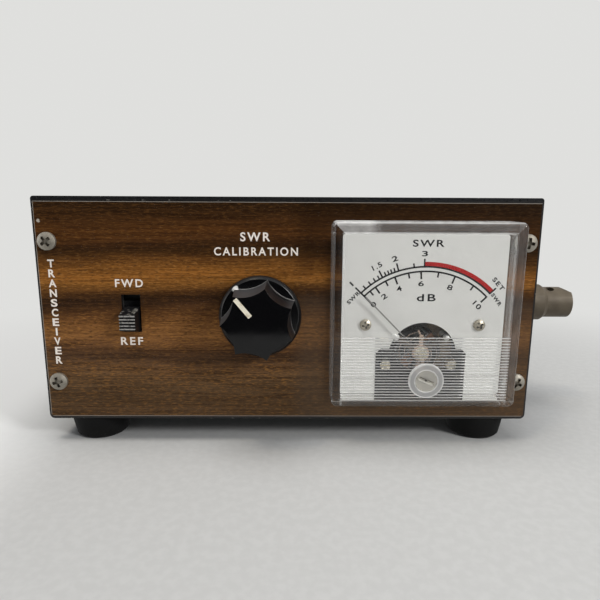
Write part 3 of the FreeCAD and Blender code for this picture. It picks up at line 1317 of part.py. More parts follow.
def coupling_ring():
    """Knurled ring held on the plug's shoulder, running over the socket's thread."""
    start = SHELL_HALF + SOCKET_FLANGE_T + COUPLING_START
    shoulder = PLUG_SHOULDER_END + COUPLING_LIP_GAP
    end = shoulder + COUPLING_LIP_T
    bevel = 0.6
    bore_r = SOCKET_THREAD_R + RING_THREAD_GAP
    lip_r = PLUG_NECK_R + COUPLING_LIP_GAP
    ring = turned([
        (bore_r, start), (COUPLING_R - bevel, start), (COUPLING_R, start + bevel),
        (COUPLING_R, end - bevel), (COUPLING_R - bevel, end), (lip_r, end),
        (lip_r, shoulder), (bore_r, shoulder),
    ])
    ring = placed(ring, V(0, SOCKET_Y, SOCKET_Z), V(1, 0, 0))
    groove = Part.Face(Part.makePolygon([
        V(start - 1, COUPLING_R - KNURL_D, 0), V(start - 1, COUPLING_R + 0.5, -KNURL_D - 0.5),
        V(start - 1, COUPLING_R + 0.5, KNURL_D + 0.5), V(start - 1, COUPLING_R - KNURL_D, 0),
    ])).extrude(V(end - start + 2, 0, 0))
    grooves = []
    for k in range(KNURLS):
        cut = groove.copy()
        cut.rotate(V(0, 0, 0), V(1, 0, 0), 360 * k / KNURLS)
        cut.translate(V(0, SOCKET_Y, SOCKET_Z))
        grooves.append(cut)
    return ring.cut(grooves)


def line_trough():
    """Brass channel round the line, its end plates clamped under the socket nuts."""
    half = SHELL_HALF - SHEET
    y0, y1 = SOCKET_Y - TROUGH_SIDE / 2, BOARD_Y
    z0, z1 = SOCKET_Z - TROUGH_SIDE / 2, SOCKET_Z + TROUGH_SIDE / 2
    channel = box(-half, half, y0, y1, z0, z1).cut(
        box(-half - 1, half + 1, y0 + TROUGH_T, y1 + 1, z0 + TROUGH_T, z1 - TROUGH_T)
    )
    rails = [
        box(-BOARD_W / 2, BOARD_W / 2, y1 - TROUGH_T, y1, z0 - TROUGH_FLANGE, z0 + TROUGH_T),
        box(-BOARD_W / 2, BOARD_W / 2, y1 - TROUGH_T, y1, z1 - TROUGH_T, z1 + TROUGH_FLANGE),
    ]
    ends = []
    for side in (-1, 1):
        x0 = min(side * half, side * (half - TROUGH_T))
        ends.append(box(
            x0, x0 + TROUGH_T,
            SOCKET_Y - SOCKET_FLANGE / 2, SOCKET_Y + SOCKET_FLANGE / 2,
            SOCKET_Z - SOCKET_FLANGE / 2, SOCKET_Z + SOCKET_FLANGE / 2,
        ))
    trough = joined([channel] + rails + ends)
    holes = []
    for side in (-1, 1):
        x0 = side * half - 2
        holes.append(rod_x(SOCKET_REAR_R + SOCKET_HOLE_GAP, x0, x0 + 4, SOCKET_Y, SOCKET_Z))
        holes += [rod_x(M3_R + M3_CLEAR, x0, x0 + 4, y, z) for y, z in socket_hole_points()]
    holes += [rod_y(SMALL_SCREW_R + 0.05, BOARD_Y - 2, BOARD_Y + 1, x, z)
              for x, z in board_screw_points()]
    return trough.cut(holes)


def board_screw_points():
    rise = (TROUGH_SIDE + TROUGH_FLANGE) / 2
    return [(a * BOARD_SCREW_X, SOCKET_Z + b * rise) for a in (-1, 1) for b in (-1, 1)]


def through_line():
    reach = SOCKET_REAR
    return rod_x(LINE_R, -reach, reach, SOCKET_Y, SOCKET_Z)


def circuit_board():
    board = box(
        -BOARD_W / 2, BOARD_W / 2, BOARD_Y, BOARD_Y + BOARD_T,
        SOCKET_Z - BOARD_H / 2, SOCKET_Z + BOARD_H / 2,
    )
    holes = [rod_y(SMALL_SCREW_R + 0.2, BOARD_Y - 1, BOARD_Y + BOARD_T + 1, x, z)
             for x, z in board_screw_points()]
    holes += [rod_y(PICKUP_R, BOARD_Y - 1, BOARD_Y + BOARD_T + 1, x, z)
              for x, z in pickup_points()]
    return board.cut(holes)


def board_screws():
    screw = pan_screw(SMALL_SCREW_R, BOARD_T + 2 * TROUGH_T, SMALL_HEAD_R, SMALL_HEAD_H)
    return Part.makeCompound([
        placed(screw, V(x, BOARD_Y + BOARD_T, z), V(0, 1, 0), 40)
        for x, z in board_screw_points()
    ])


def pickup_points():
    return [
        (a * PICKUP_HALF, SOCKET_Z + b * PICKUP_SPREAD / 2) for b in (-1, 1) for a in (-1, 1)
    ]


def pickup_lines():
    """Two wires beside the line, bent back into the board at each end."""
    y = SOCKET_Y + PICKUP_BACK
    end = BOARD_Y + BOARD_T + PICKUP_R
    wires = []
    for side in (-1, 1):
        z = SOCKET_Z + side * PICKUP_SPREAD / 2
        wires.append(bent_wire(PICKUP_R, [
            V(-PICKUP_HALF, end, z), V(-PICKUP_HALF, y, z),
            V(PICKUP_HALF, y, z), V(PICKUP_HALF, end, z),
        ]))
    return Part.makeCompound(wires)


def axial_part(radius, length, x, z):
    """A small cylindrical component lying along X behind the board, on bent leads."""
    board = BOARD_Y + BOARD_T
    y = board + LEAD_STAND
    body = rod_x(radius, x - length / 2, x + length / 2, y, z)
    reach = length / 2 + LEAD_L
    leads = bent_wire(LEAD_R, [
        V(x - reach, board, z), V(x - reach, y, z), V(x + reach, y, z), V(x + reach, board, z),
    ])
    return joined([body, leads])


def diodes():
    z = PICKUP_SPREAD / 2 + COMPONENT_OUT
    return Part.makeCompound([
        axial_part(DIODE_R, DIODE_L, COMPONENT_IN - PICKUP_HALF, SOCKET_Z + side * z)
        for side in (-1, 1)
    ])


def resistors():
    z = PICKUP_SPREAD / 2 + COMPONENT_OUT
    return Part.makeCompound([
        axial_part(RESISTOR_R, RESISTOR_L, PICKUP_HALF - COMPONENT_IN, SOCKET_Z + side * z)
        for side in (-1, 1)
    ])


def capacitors():
    """Disc capacitors standing off the board on two leads."""
    board = BOARD_Y + BOARD_T
    pieces = []
    for x in (-CAP_PITCH, 0, CAP_PITCH):
        disc = rod_x(
            CAP_R, x - CAP_T / 2, x + CAP_T / 2, board + CAP_R + LEAD_L / 2, SOCKET_Z
        )
        legs = [
            rod_y(LEAD_R, board, board + CAP_R, x, SOCKET_Z + end * CAP_LEADS / 2)
            for end in (-1, 1)
        ]
        pieces.append(joined([disc] + legs))
    return Part.makeCompound(pieces)


SINGLE_PIECES = [
    case_shell, case_lid, case_screws, front_panel, panel_overlay, long_screws, nuts,
    knob, knob_pointer, knob_set_screw, pot_body, pot_shaft, pot_washer, pot_nut,
    pot_terminals,
    switch_frame, switch_rivets, switch_body, switch_actuator, switch_terminals,
    meter_cover, meter_body, meter_studs, meter_terminals, dial_plate, dial_screws,
    yoke_ring, core_magnet, core_spacers, coil_former, coil_winding, needle,
    bridge_pillars, front_bridge, jewel_screw, rear_bridge, frame_screws, hairspring,
    zero_arm, zero_screw,
    socket_insulators, socket_contacts,
    plug_body, plug_insulator, plug_pin, coupling_ring,
    line_trough, through_line, circuit_board, board_screws, pickup_lines,
    diodes, resistors, capacitors,
]


def write(name, piece):
    piece.translate(V(0, 0, 0) - ORIGIN)
    assert piece.isValid() and piece.Solids, name
    piece.exportStep("parts/" + name + ".step")
    print(name, len(piece.Solids), round(piece.Volume, 2))


os.makedirs("parts", exist_ok=True)
for make in SINGLE_PIECES:
    write(make.__name__, make())
for place, (foot_x, foot_y) in FEET.items():
    write("foot_" + place, foot(foot_x, foot_y))
write("socket_left", mirrored(socket_shell()))
write("socket_right", socket_shell())
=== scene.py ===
import math

import bpy
from mathutils import Matrix, Vector


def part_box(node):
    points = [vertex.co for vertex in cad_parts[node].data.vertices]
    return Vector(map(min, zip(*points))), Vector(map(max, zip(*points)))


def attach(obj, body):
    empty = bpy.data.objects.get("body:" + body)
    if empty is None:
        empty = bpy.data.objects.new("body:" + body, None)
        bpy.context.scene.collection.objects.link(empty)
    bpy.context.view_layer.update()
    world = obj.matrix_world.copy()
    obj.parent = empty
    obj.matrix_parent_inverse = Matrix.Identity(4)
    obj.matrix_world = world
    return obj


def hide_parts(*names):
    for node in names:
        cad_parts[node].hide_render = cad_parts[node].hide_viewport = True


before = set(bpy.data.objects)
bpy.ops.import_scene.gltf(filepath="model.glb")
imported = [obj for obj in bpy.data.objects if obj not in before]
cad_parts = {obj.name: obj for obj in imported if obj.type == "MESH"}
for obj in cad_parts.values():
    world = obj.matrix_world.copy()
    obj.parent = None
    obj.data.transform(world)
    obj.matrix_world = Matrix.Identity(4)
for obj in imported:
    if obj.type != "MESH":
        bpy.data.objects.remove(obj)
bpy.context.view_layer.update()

# ---- camera ----
# A camera held by hand, a span in front of the panel and about level with the lid, looking
# a little down at the middle of the panel.
MM = 0.001
EYE = Vector((-7.256, -182.403, 76.776)) * MM
PITCH, YAW, ROLL = (math.radians(angle) for angle in (11.082, 0.514, 0.297))
LENS, SENSOR, NEAREST, FARTHEST = 30.9, 36, 0.01, 20
camera_data = bpy.data.cameras.new("camera")
camera_data.sensor_width = SENSOR
camera_data.lens = LENS
camera_data.clip_start = NEAREST
camera_data.clip_end = FARTHEST
camera = bpy.data.objects.new("camera", camera_data)
bpy.context.collection.objects.link(camera)
bpy.context.scene.camera = camera
forward = Vector((
    math.sin(YAW) * math.cos(PITCH), math.cos(YAW) * math.cos(PITCH), -math.sin(PITCH),
))
level_right = Vector((math.cos(YAW), -math.sin(YAW), 0))
level_up = level_right.cross(forward)
right = level_right * math.cos(ROLL) + level_up * math.sin(ROLL)
up = level_up * math.cos(ROLL) - level_right * math.sin(ROLL)
turn = Matrix((right, up, -forward)).transposed()
camera.matrix_world = Matrix.Translation(EYE) @ turn.to_4x4()

# ---- floor, backdrop and lamps ----
# A pale counter top that pales into a white surround, one soft lamp high to the right of
# the camera, one broad lamp overhead and a small warm bulb. The room behind is dim.
BACKDROP = (0.74, 0.74, 0.725)
COUNTER, COUNTER_SPECK, COUNTER_LEFT_PAINTED_LIGHT = (0.60, 0.60, 0.59), (0.63, 0.63, 0.62), (0.95, 0.95, 0.94)
NEAR_COUNTER, FAR_COUNTER = 0.10, 0.27
LEFT_FROM, LEFT_TO = -0.07, -0.12
BEHIND_EYE = (-0.184, -0.192)
DARK_ROOM, LEFT_WALL, CEILING = (0.005, 0.005, 0.006), (1.6, 1.6, 1.6), (0.7, 0.7, 0.7)
SKYLIGHT, SKYLIGHT_STRENGTH = (0.94, 0.97, 1), 0.24
bpy.context.scene.view_settings.view_transform = "Standard"


def fill(node, inputs):
    """Links or sets the inputs of a node; a colour is given as red, green and blue."""
    for name, value in inputs.items():
        socket = node.inputs[name]
        if isinstance(value, bpy.types.NodeSocket):
            socket.id_data.links.new(value, socket)
        else:
            socket.default_value = (*value, 1) if socket.type == "RGBA" else value


def add_node(tree, kind, inputs=None, **settings):
    """A shader node with its settings and its inputs."""
    made = tree.nodes.new("ShaderNode" + kind)
    for name, value in settings.items():
        setattr(made, name, value)
    fill(made, inputs or {})
    return made


def fed_node(kind, inputs, **settings):
    """A node in the tree that its linked inputs come from."""
    linked = (value for value in inputs.values() if isinstance(value, bpy.types.NodeSocket))
    return add_node(next(linked).id_data, kind, inputs, **settings)


def maths(operation, first, second=0.5):
    """The value of one arithmetic node."""
    return fed_node("Math", {0: first, 1: second}, operation=operation).outputs[0]


def times(first, *others):
    """The product of values, or what masks have in common."""
    for other in others:
        first = maths("MULTIPLY", first, other)
    return first


def less(first, second):
    """One value less another."""
    return maths("SUBTRACT", first, second)


def off(value, level):
    """How far a value lies from a level."""
    return maths("ABSOLUTE", less(value, level))


def larger(first, second):
    """The larger of two values."""
    return maths("MAXIMUM", first, second)


def ranged(value, low, high, to_low=0, to_high=1):
    """A value taken smoothly from one range to another."""
    limits = {0: value, 1: low, 2: high, 3: to_low, 4: to_high}
    return fed_node("MapRange", limits, interpolation_type="SMOOTHSTEP").outputs["Result"]


def blended(factor, first, second, mode="MIX"):
    """Two colours, one over the other."""
    colours = {0: factor, 6: first, 7: second}
    return fed_node("Mix", colours, data_type="RGBA", blend_type=mode).outputs[2]


def vectors(operation, first, second=(0, 0, 0)):
    """The outputs of one vector node: a vector first, and a Value."""
    return fed_node("VectorMath", {0: first, 1: second}, operation=operation).outputs


def along(vector, axis):
    """One coordinate of a vector."""
    return fed_node("SeparateXYZ", {0: vector}).outputs[axis]


def noise(place, scale, detail=2, roughness=0.5, distortion=0):
    """A soft, lumpy value, finer as its scale grows."""
    grain = {"Detail": detail, "Roughness": roughness, "Distortion": distortion}
    return fed_node("TexNoise", {"Vector": place, "Scale": scale, **grain}).outputs["Fac"]


def mixed(share, first, second):
    """Two shaders, with a share of the second."""
    return fed_node("MixShader", {0: share, 1: first.outputs[0], 2: second.outputs[0]})


def cleared(holder):
    """An emptied tree, its Light Path, and a mask of the rays that reach the eye."""
    holder.use_nodes = True
    tree = holder.node_tree
    tree.nodes.clear()
    rays = add_node(tree, "LightPath").outputs
    return tree, rays, larger(rays["Is Camera Ray"], rays["Is Transmission Ray"])


bpy.ops.object.select_all(action="DESELECT")
bpy.ops.mesh.primitive_plane_add(size=6)
floor = bpy.context.object
floor.name = "counter_top"
floor_material = bpy.data.materials.new("counter_top")
tree, rays, seen = cleared(floor_material)
place = add_node(tree, "TexCoord").outputs["Object"]
tone = blended(ranged(noise(place, 420), 0.35, 0.7), COUNTER, COUNTER_SPECK)
# Painted light: the counter is painted lighter towards the left, where the right lamp leaves it in
# shade.
tone = blended(ranged(along(place, "X"), LEFT_FROM, LEFT_TO), tone, COUNTER_LEFT_PAINTED_LIGHT)
board = add_node(tree, "BsdfDiffuse", {"Color": tone})
surround = add_node(tree, "Emission", {"Color": BACKDROP, "Strength": 1})
faded = ranged(vectors("LENGTH", place)["Value"], NEAR_COUNTER, FAR_COUNTER)
mirrored = times(rays["Is Glossy Ray"], ranged(along(place, "Y"), *BEHIND_EYE, 0.35, 1))
gone = add_node(tree, "BsdfTransparent")
ground = mixed(mirrored, mixed(times(faded, seen), board, surround), gone)
add_node(tree, "OutputMaterial", {"Surface": ground.outputs[0]})
floor.data.materials.append(floor_material)

world = bpy.data.worlds.new("studio")
bpy.context.scene.world = world
tree, rays, seen = cleared(world)
toward = add_node(tree, "TexCoord").outputs["Generated"]
room = blended(ranged(along(toward, "Y"), -0.15, 0.35), DARK_ROOM, BACKDROP)
room = blended(ranged(along(toward, "X"), -0.75, -0.95), room, LEFT_WALL)
room = blended(ranged(along(toward, "Z"), 0.45, 0.85), room, CEILING)
skylight, in_gloss, plain = (
    add_node(tree, "Background", {"Color": colour, "Strength": strength})
    for colour, strength in ((SKYLIGHT, SKYLIGHT_STRENGTH), (room, 1), (BACKDROP, 1))
)
sky = mixed(seen, mixed(rays["Is Glossy Ray"], skylight, in_gloss), plain)
add_node(tree, "OutputWorld", {"Surface": sky.outputs[0]})


def add_lamp(name, place, aim, size, power, tint=(1, 1, 1)):
    """A square lamp at a place, turned to face another."""
    data = bpy.data.lights.new(name, "AREA")
    data.color = tint
    data.size = size
    data.energy = power
    lamp = bpy.data.objects.new(name, data)
    lamp.location = place
    lamp.rotation_euler = (Vector(aim) - Vector(place)).to_track_quat("-Z", "Y").to_euler()
    bpy.context.collection.objects.link(lamp)
    return lamp


add_lamp("right_lamp", (0.50, -0.42, 0.36), (0, 0, 0.04), 0.16, 2.4)
add_lamp("overhead_lamp", (-0.10, -0.12, 0.95), (0, 0, 0), 0.55, 4.6).visible_glossy = False
add_lamp("ceiling_bulb", (-0.24, -0.26, 0.95), (0, 0, 0), 0.09, 0.6, (1, 0.84, 0.6))

# ---- case: folded shell and lid ----
# Steel sheet, folded, screwed together and stoved in a black enamel that has a slight
# texture, a little dust on top and bare specks along its folds.
ENAMEL, DUST, BARE_STEEL = (0.012, 0.012, 0.013), (0.10, 0.095, 0.085), (0.42, 0.41, 0.39)


def effect(name, vectors_in, values_in, values_out):
    """A node group, what it is given, and the node that takes its results."""
    group = bpy.data.node_groups.new(name, "ShaderNodeTree")
    for labels, way, kind in (
        (vectors_in, "INPUT", "Vector"), (values_in, "INPUT", "Float"),
        (values_out, "OUTPUT", "Float"),
    ):
        for label in labels:
            group.interface.new_socket(label, in_out=way, socket_type="NodeSocket" + kind)
    return group, group.nodes.new("NodeGroupInput").outputs, group.nodes.new("NodeGroupOutput")


def placed(group, place, **values):
    """The outputs of a group, placed in a material with its own values."""
    return fed_node("Group", {"Vector": place, **values}, node_tree=group).outputs


def rare(value, amount, softness):
    """A mask of the highest parts of a noise; with more amount, more of it."""
    rarity = less(1, amount)
    return ranged(value, rarity, maths("ADD", rarity, softness))


specks, given, result = effect("specks", ["Vector"], ["Scale", "Amount"], ["Mask", "Height"])
fine = noise(given["Vector"], given["Scale"], 3)
fill(result, {"Mask": rare(fine, given["Amount"], 0.08), "Height": fine})

edge_wear, given, result = effect(
    "edge_wear", ["Vector", "Low", "High"], ["Width", "Amount", "Scale"], ["Mask"],
)
from_low = vectors("SUBTRACT", given["Vector"], given["Low"])[0]
from_high = vectors("SUBTRACT", given["High"], given["Vector"])[0]
nearest = vectors("MINIMUM", from_low, from_high)[0]
x, y, z = (along(nearest, axis) for axis in "XYZ")
middle = maths("ADD", x, maths("ADD", y, z))
for extreme in ("MAXIMUM", "MINIMUM"):
    middle = less(middle, maths(extreme, x, maths(extreme, y, z)))
close = ranged(maths("DIVIDE", middle, given["Width"]), 1, 0.4)
broken = rare(noise(given["Vector"], given["Scale"], 4), given["Amount"], 0.1)
fill(result, {"Mask": times(close, broken)})


def specked(place, scale, amount):
    """The Mask and the Height of specks on a piece."""
    return placed(specks, place, Scale=scale, Amount=amount)


def worn_edges(place, low, high, width, amount, scale):
    """A mask of the broken wear along the edges of a box."""
    box = {"Low": low, "High": high}
    return placed(edge_wear, place, **box, Width=width, Amount=amount, Scale=scale)["Mask"]


def new_material(name, colour, roughness, metallic=0, specular=0.5):
    """A material with its shader and the place on the piece."""
    made = bpy.data.materials.new(name)
    made.use_nodes = True
    shader = made.node_tree.nodes["Principled BSDF"]
    fill(shader, {
        "Base Color": colour, "Roughness": roughness, "Metallic": metallic,
        "Specular IOR Level": specular,
    })
    return made, shader, add_node(made.node_tree, "TexCoord").outputs["Object"]


def bumped(shader, height, strength, distance):
    """A bump from a height, in metres, on the shader's normal."""
    bump = {"Height": height, "Strength": strength, "Distance": distance}
    fill(shader, {"Normal": fed_node("Bump", bump).outputs["Normal"]})


def paint(shader, colour):
    """The colour of a shader."""
    fill(shader, {"Base Color": colour})


def dress(material, *names):
    """The CAD nodes that take this material in all their slots."""
    for name in names:
        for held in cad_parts[name].material_slots:
            held.material = material


enamel, shader, place = new_material("black_enamel", ENAMEL, 0.34)
texture = specked(place, 1500, 0.5)["Height"]
bare = worn_edges(place, *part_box("case_lid"), 0.0003, 0.33, 900)
colour = blended(times(specked(place, 2600, 0.36)["Mask"], 0.5), ENAMEL, DUST)
fill(shader, {
    "Base Color": blended(bare, colour, BARE_STEEL),
    "Roughness": ranged(texture, 0.3, 0.7, 0.26, 0.42),
})
bumped(shader, texture, 0.25, 0.00006)
dress(enamel, "case_shell", "case_lid")

# ---- front plate ----
# A flat steel plate behind the trim, sawn square and stoved black like the case. Four panel
# screws hold it. Only its thin rim shows round the trim, rubbed bare in places.
PLATE_ENAMEL, RUBBED_STEEL = (0.015, 0.014, 0.014), (0.5, 0.48, 0.45)
rim, shader, place = new_material("plate_enamel", PLATE_ENAMEL, 0.4)
worn = worn_edges(place, *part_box("front_panel"), 0.00025, 0.36, 900)
paint(shader, blended(worn, PLATE_ENAMEL, RUBBED_STEEL))
dress(rim, "front_panel")

# ---- woodgrain trim ----
# Thin sheet printed as dark walnut under a satin film. The figure runs across in bands of
# light and dark with fine golden dashes, and the white core shows at its cut edge.
trim_low, trim_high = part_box("panel_overlay")
trim_middle = (trim_low.x + trim_high.x) / 2
TRIM_HEIGHT = trim_high.z - trim_low.z
TRIM_BANDS = (
    (0, (0.118, 0.066, 0.032)), (3, (0.108, 0.061, 0.029)), (6, (0.107, 0.060, 0.028)),
    (9, (0.128, 0.073, 0.035)), (12, (0.148, 0.082, 0.037)), (15, (0.187, 0.097, 0.042)),
    (17.5, (0.143, 0.073, 0.033)), (19.5, (0.082, 0.043, 0.023)), (22, (0.114, 0.053, 0.022)),
    (24.5, (0.262, 0.117, 0.041)), (26.5, (0.336, 0.150, 0.046)), (29, (0.286, 0.123, 0.036)),
    (31.5, (0.168, 0.069, 0.020)), (34, (0.107, 0.045, 0.014)), (36.5, (0.041, 0.018, 0.008)),
    (39, (0.055, 0.023, 0.007)), (41, (0.151, 0.059, 0.013)), (43, (0.346, 0.142, 0.026)),
    (45, (0.380, 0.143, 0.025)), (47.5, (0.302, 0.117, 0.020)), (50, (0.158, 0.060, 0.012)),
    (52, (0.088, 0.036, 0.008)), (54, (0.034, 0.014, 0.0045)), (56.2, (0.079, 0.030, 0.008)),
    (58.5, (0.130, 0.047, 0.0095)), (61, (0.084, 0.031, 0.007)), (64, (0.057, 0.023, 0.006)),
    (67, (0.032, 0.014, 0.004)),
)
STREAK_TINT, GOLD_DASH, PORE_BROWN = (0.36, 0.34, 0.33), (0.42, 0.185, 0.042), (0.030, 0.016, 0.008)
DARKER_RIGHT_LOW, DARKER_RIGHT_HIGH = (0.082, 0.056, 0.037), (0.012, 0.005, 0.001)
DUST_FLECK, WHITE_CORE, CHIPPED = (0.33, 0.30, 0.26), (0.44, 0.40, 0.35), (0.46, 0.41, 0.34)
SWAY = 0.011
GOLD_LEVEL = 0.625
CHIP = Vector((trim_middle - 73.8 * MM, trim_low.y, trim_low.z + 61.3 * MM))


def stretched(place, scale):
    """A place scaled along each axis, so that a noise on it runs in streaks."""
    return fed_node("Mapping", {"Vector": place, "Scale": scale}).outputs[0]


def laid(value, marks, interpolation="LINEAR"):
    """Colours laid at marks along a value."""
    made = fed_node("ValToRGB", {"Fac": value})
    made.color_ramp.interpolation = interpolation
    stops = made.color_ramp.elements
    for index, (position, colour) in enumerate(marks):
        stop = stops[index] if index < 2 else stops.new(position)
        stop.position = position
        stop.color = (*colour, 1)
    return made.outputs["Color"]


wood, shader, place = new_material("woodgrain_print", GOLD_DASH, 0.4, specular=0.1)
wander = less(noise(stretched(place, (9, 1, 32)), 1, 3, 0.55), 0.5)
height = maths("ADD", along(place, "Z"), times(wander, SWAY))
across = maths("DIVIDE", less(height, trim_low.z), TRIM_HEIGHT)
bands = laid(across, [(level * MM / TRIM_HEIGHT, tint) for level, tint in TRIM_BANDS], "B_SPLINE")
fibre = noise(stretched(place, (520, 1, 2700)), 1, 4, 0.62, 0.4)
streak = noise(stretched(place, (42, 1, 1450)), 1, 3, 0.6, 0.8)
pore = noise(stretched(place, (620, 1, 4000)), 1, 1)
figure = blended(ranged(streak, 0.34, 0.68, 0, 0.85), bands, STREAK_TINT, "MULTIPLY")
golden = fed_node("RGBToBW", {"Color": bands}).outputs[0]
dashes = times(ranged(fibre, 0.48, 0.66), ranged(golden, 0.03, 0.13, 0.14, 0.62))
figure = blended(dashes, figure, GOLD_DASH)
pitted = times(ranged(pore, 0.52, 0.68), ranged(golden, 0.03, 0.13, 0.25, 0.6))
figure = blended(pitted, figure, PORE_BROWN)
from_middle = less(along(place, "X"), trim_middle)
off_gold = off(across, GOLD_LEVEL)
# Right of the trim's middle the figure is painted darker, up to half way: greyish brown below the
# gold band, near black above it, and least near the band itself.
darker_right_tone = blended(ranged(across, 0.57, 0.70), DARKER_RIGHT_LOW, DARKER_RIGHT_HIGH)
darker_right_share = times(ranged(from_middle, -0.001, 0.006), ranged(off_gold, 0.03, 0.10, 0.08, 0.5))
figure = blended(darker_right_share, figure, darker_right_tone)
figure = blended(times(specked(place, 3600, 0.33)["Mask"], 0.25), figure, DUST_FLECK)
beyond_right = trim_high + Vector((1, 1, 0))     # the core shows at every edge but the right
core = worn_edges(place, trim_low, beyond_right, 0.00022, 0.82, 420)
figure = blended(times(core, 0.7), figure, WHITE_CORE)
chip = maths("ADD", vectors("DISTANCE", place, CHIP)["Value"], times(noise(place, 1400), 0.001))
figure = blended(ranged(chip, 0.00115, 0.00090), figure, CHIPPED)
fill(shader, {"Base Color": figure, "Roughness": ranged(fibre, 0.3, 0.7, 0.36, 0.5)})
bumped(shader, fibre, 0.2, 0.00004)
dress(wood, "panel_overlay")

# ---- legends on the trim ----
# Function words screened in white ink on the film: a film of ink a few hundredths thick,
# with slightly rounded, uneven corners.
WHITE_INK, THIN_INK = (0.95, 0.87, 0.79), (0.50, 0.45, 0.41)
INK = 0.04 * MM
PANEL_FACE = trim_low.y
FRONTWARD = math.pi / 2
LEGENDS = (
    ("FWD", -48.1, 42.7, 8.4, 2.45), ("REF", -48.2, 24.65, 6.8, 2.5),
    ("SWR", -9.85, 56.8, 8.9, 2.7), ("CALIBRATION", -9.65, 52.45, 25.1, 2.5),
)
SIDE_WORD, SIDE_X, SIDE_TOP, SIDE_STEP, SIDE_TALL = "TRANSCEIVER", -71.1, 48.6, 3.01, 2.4
LETTER_WIDTHS, LETTER_WIDTH = {"I": 0.55, "N": 2.1, "A": 2.3}, 1.95


def words(text, width, height, thickness, place, clockwise=0, weight=0.02, gaps=1):
    """Flat letters of a given width and height, about a place on a face."""
    bpy.ops.object.text_add()
    piece = bpy.context.object
    piece.data.body = text
    piece.data.offset = weight
    piece.data.space_character = gaps
    piece.data.resolution_u = 6
    piece.data.extrude = 0.5
    bpy.ops.object.convert(target="MESH")
    piece = bpy.context.object
    corners = [Vector(corner) for corner in piece.bound_box]
    low, high = (
        Vector([extreme(corner[axis] for corner in corners) for axis in range(3)])
        for extreme in (min, max)
    )
    piece.location = -(low + high) / 2
    bpy.ops.object.transform_apply()
    piece.scale = (width / (high.x - low.x), height / (high.y - low.y), thickness)
    bpy.ops.object.transform_apply()
    piece.rotation_euler = (FRONTWARD, math.radians(clockwise), 0)
    piece.location = Vector(place) + Vector((0, -thickness / 2, 0))
    bpy.ops.object.transform_apply()
    return piece


def only(*pieces):
    """Selects these pieces and no other, with the first one active."""
    bpy.ops.object.select_all(action="DESELECT")
    for piece in pieces:
        piece.select_set(True)
    bpy.context.view_layer.objects.active = pieces[0]


def joined(pieces, name):
    """Several pieces made one object."""
    only(*pieces)
    bpy.ops.object.join()
    whole = bpy.context.object
    whole.name = whole.data.name = name
    return whole


def settled(piece, material, slot, body, *replaced):
    """Gives a piece its material and body, and hides the nodes that it stands for. The slot is not
    used.
    """
    piece.data.materials.clear()
    piece.data.materials.append(material)
    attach(piece, body)
    if replaced:
        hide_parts(*replaced)


def on_trim(x, z):
    """A point of the trim's face, in millimetres from the middle of its lower edge."""
    return Vector((trim_middle + x * MM, PANEL_FACE, trim_low.z + z * MM))


pieces = [
    words(text, width * MM, tall * MM, INK, on_trim(x, z), weight=0.022, gaps=1.33)
    for text, x, z, width, tall in LEGENDS
]
for index, letter in enumerate(SIDE_WORD):
    width = LETTER_WIDTHS.get(letter, LETTER_WIDTH) * MM
    spot = on_trim(SIDE_X, SIDE_TOP - SIDE_STEP * index)
    pieces.append(words(letter, width, SIDE_TALL * MM, INK, spot, weight=0.03))
legends = joined(pieces, "legends")
ink, shader, place = new_material("white_ink", WHITE_INK, 0.55)
thin = times(specked(place, 2400, 0.37)["Mask"], 0.4)
paint(shader, blended(thin, WHITE_INK, THIN_INK))
settled(legends, ink, "dial_white", "case")

# ---- screws of the case ----
# Pan-head steel screws with a cross recess, nickel plated and gone a little warm and dull
# with handling. They hold the plate, the lid, the feet and the sockets.
brushed, given, result = effect("brushed", ["Vector", "Stretch"], ["Scale"], ["Value", "Blotch"])
hairs = noise(vectors("MULTIPLY", given["Vector"], given["Stretch"])[0], given["Scale"], 4, 0.6)
fill(result, {"Value": hairs, "Blotch": noise(given["Vector"], 260, 3)})


def plated(name, light, dark, gloss, scale, stretch=(1, 1, 1), metallic=1):
    """Metal whose colour and gloss change in patches along its hair lines."""
    made, shader, place = new_material(name, light, gloss[0], metallic)
    lines = placed(brushed, place, Stretch=stretch, Scale=scale)
    fill(shader, {
        "Base Color": blended(ranged(lines["Blotch"], 0.35, 0.68), light, dark),
        "Roughness": ranged(lines["Value"], 0.3, 0.7, *gloss),
    })
    bumped(shader, lines["Value"], 0.3, 0.00002)
    return made


def shade_and_grime(material, reach, tint):
    """Painted shade and old grime in a metal's recesses: the colour darkens towards a tint where
    little light reaches, as ambient occlusion finds.
    """
    tree = material.node_tree
    shader = tree.nodes["Principled BSDF"]
    open_to = add_node(tree, "AmbientOcclusion", {"Distance": reach}, samples=12, only_local=True)
    clean = shader.inputs["Base Color"].links[0].from_socket
    paint(shader, blended(ranged(open_to.outputs["AO"], 0.66, 0.36), clean, tint))


warm_nickel = plated(
    "warm_nickel", (0.46, 0.43, 0.37), (0.37, 0.34, 0.285), (0.55, 0.7), 900, metallic=0.85,
)
# Painted shade and old grime darken the screws' cross recesses.
shade_and_grime(warm_nickel, 1 * MM, (0.12, 0.10, 0.08))
dress(warm_nickel, "case_screws", "long_screws")

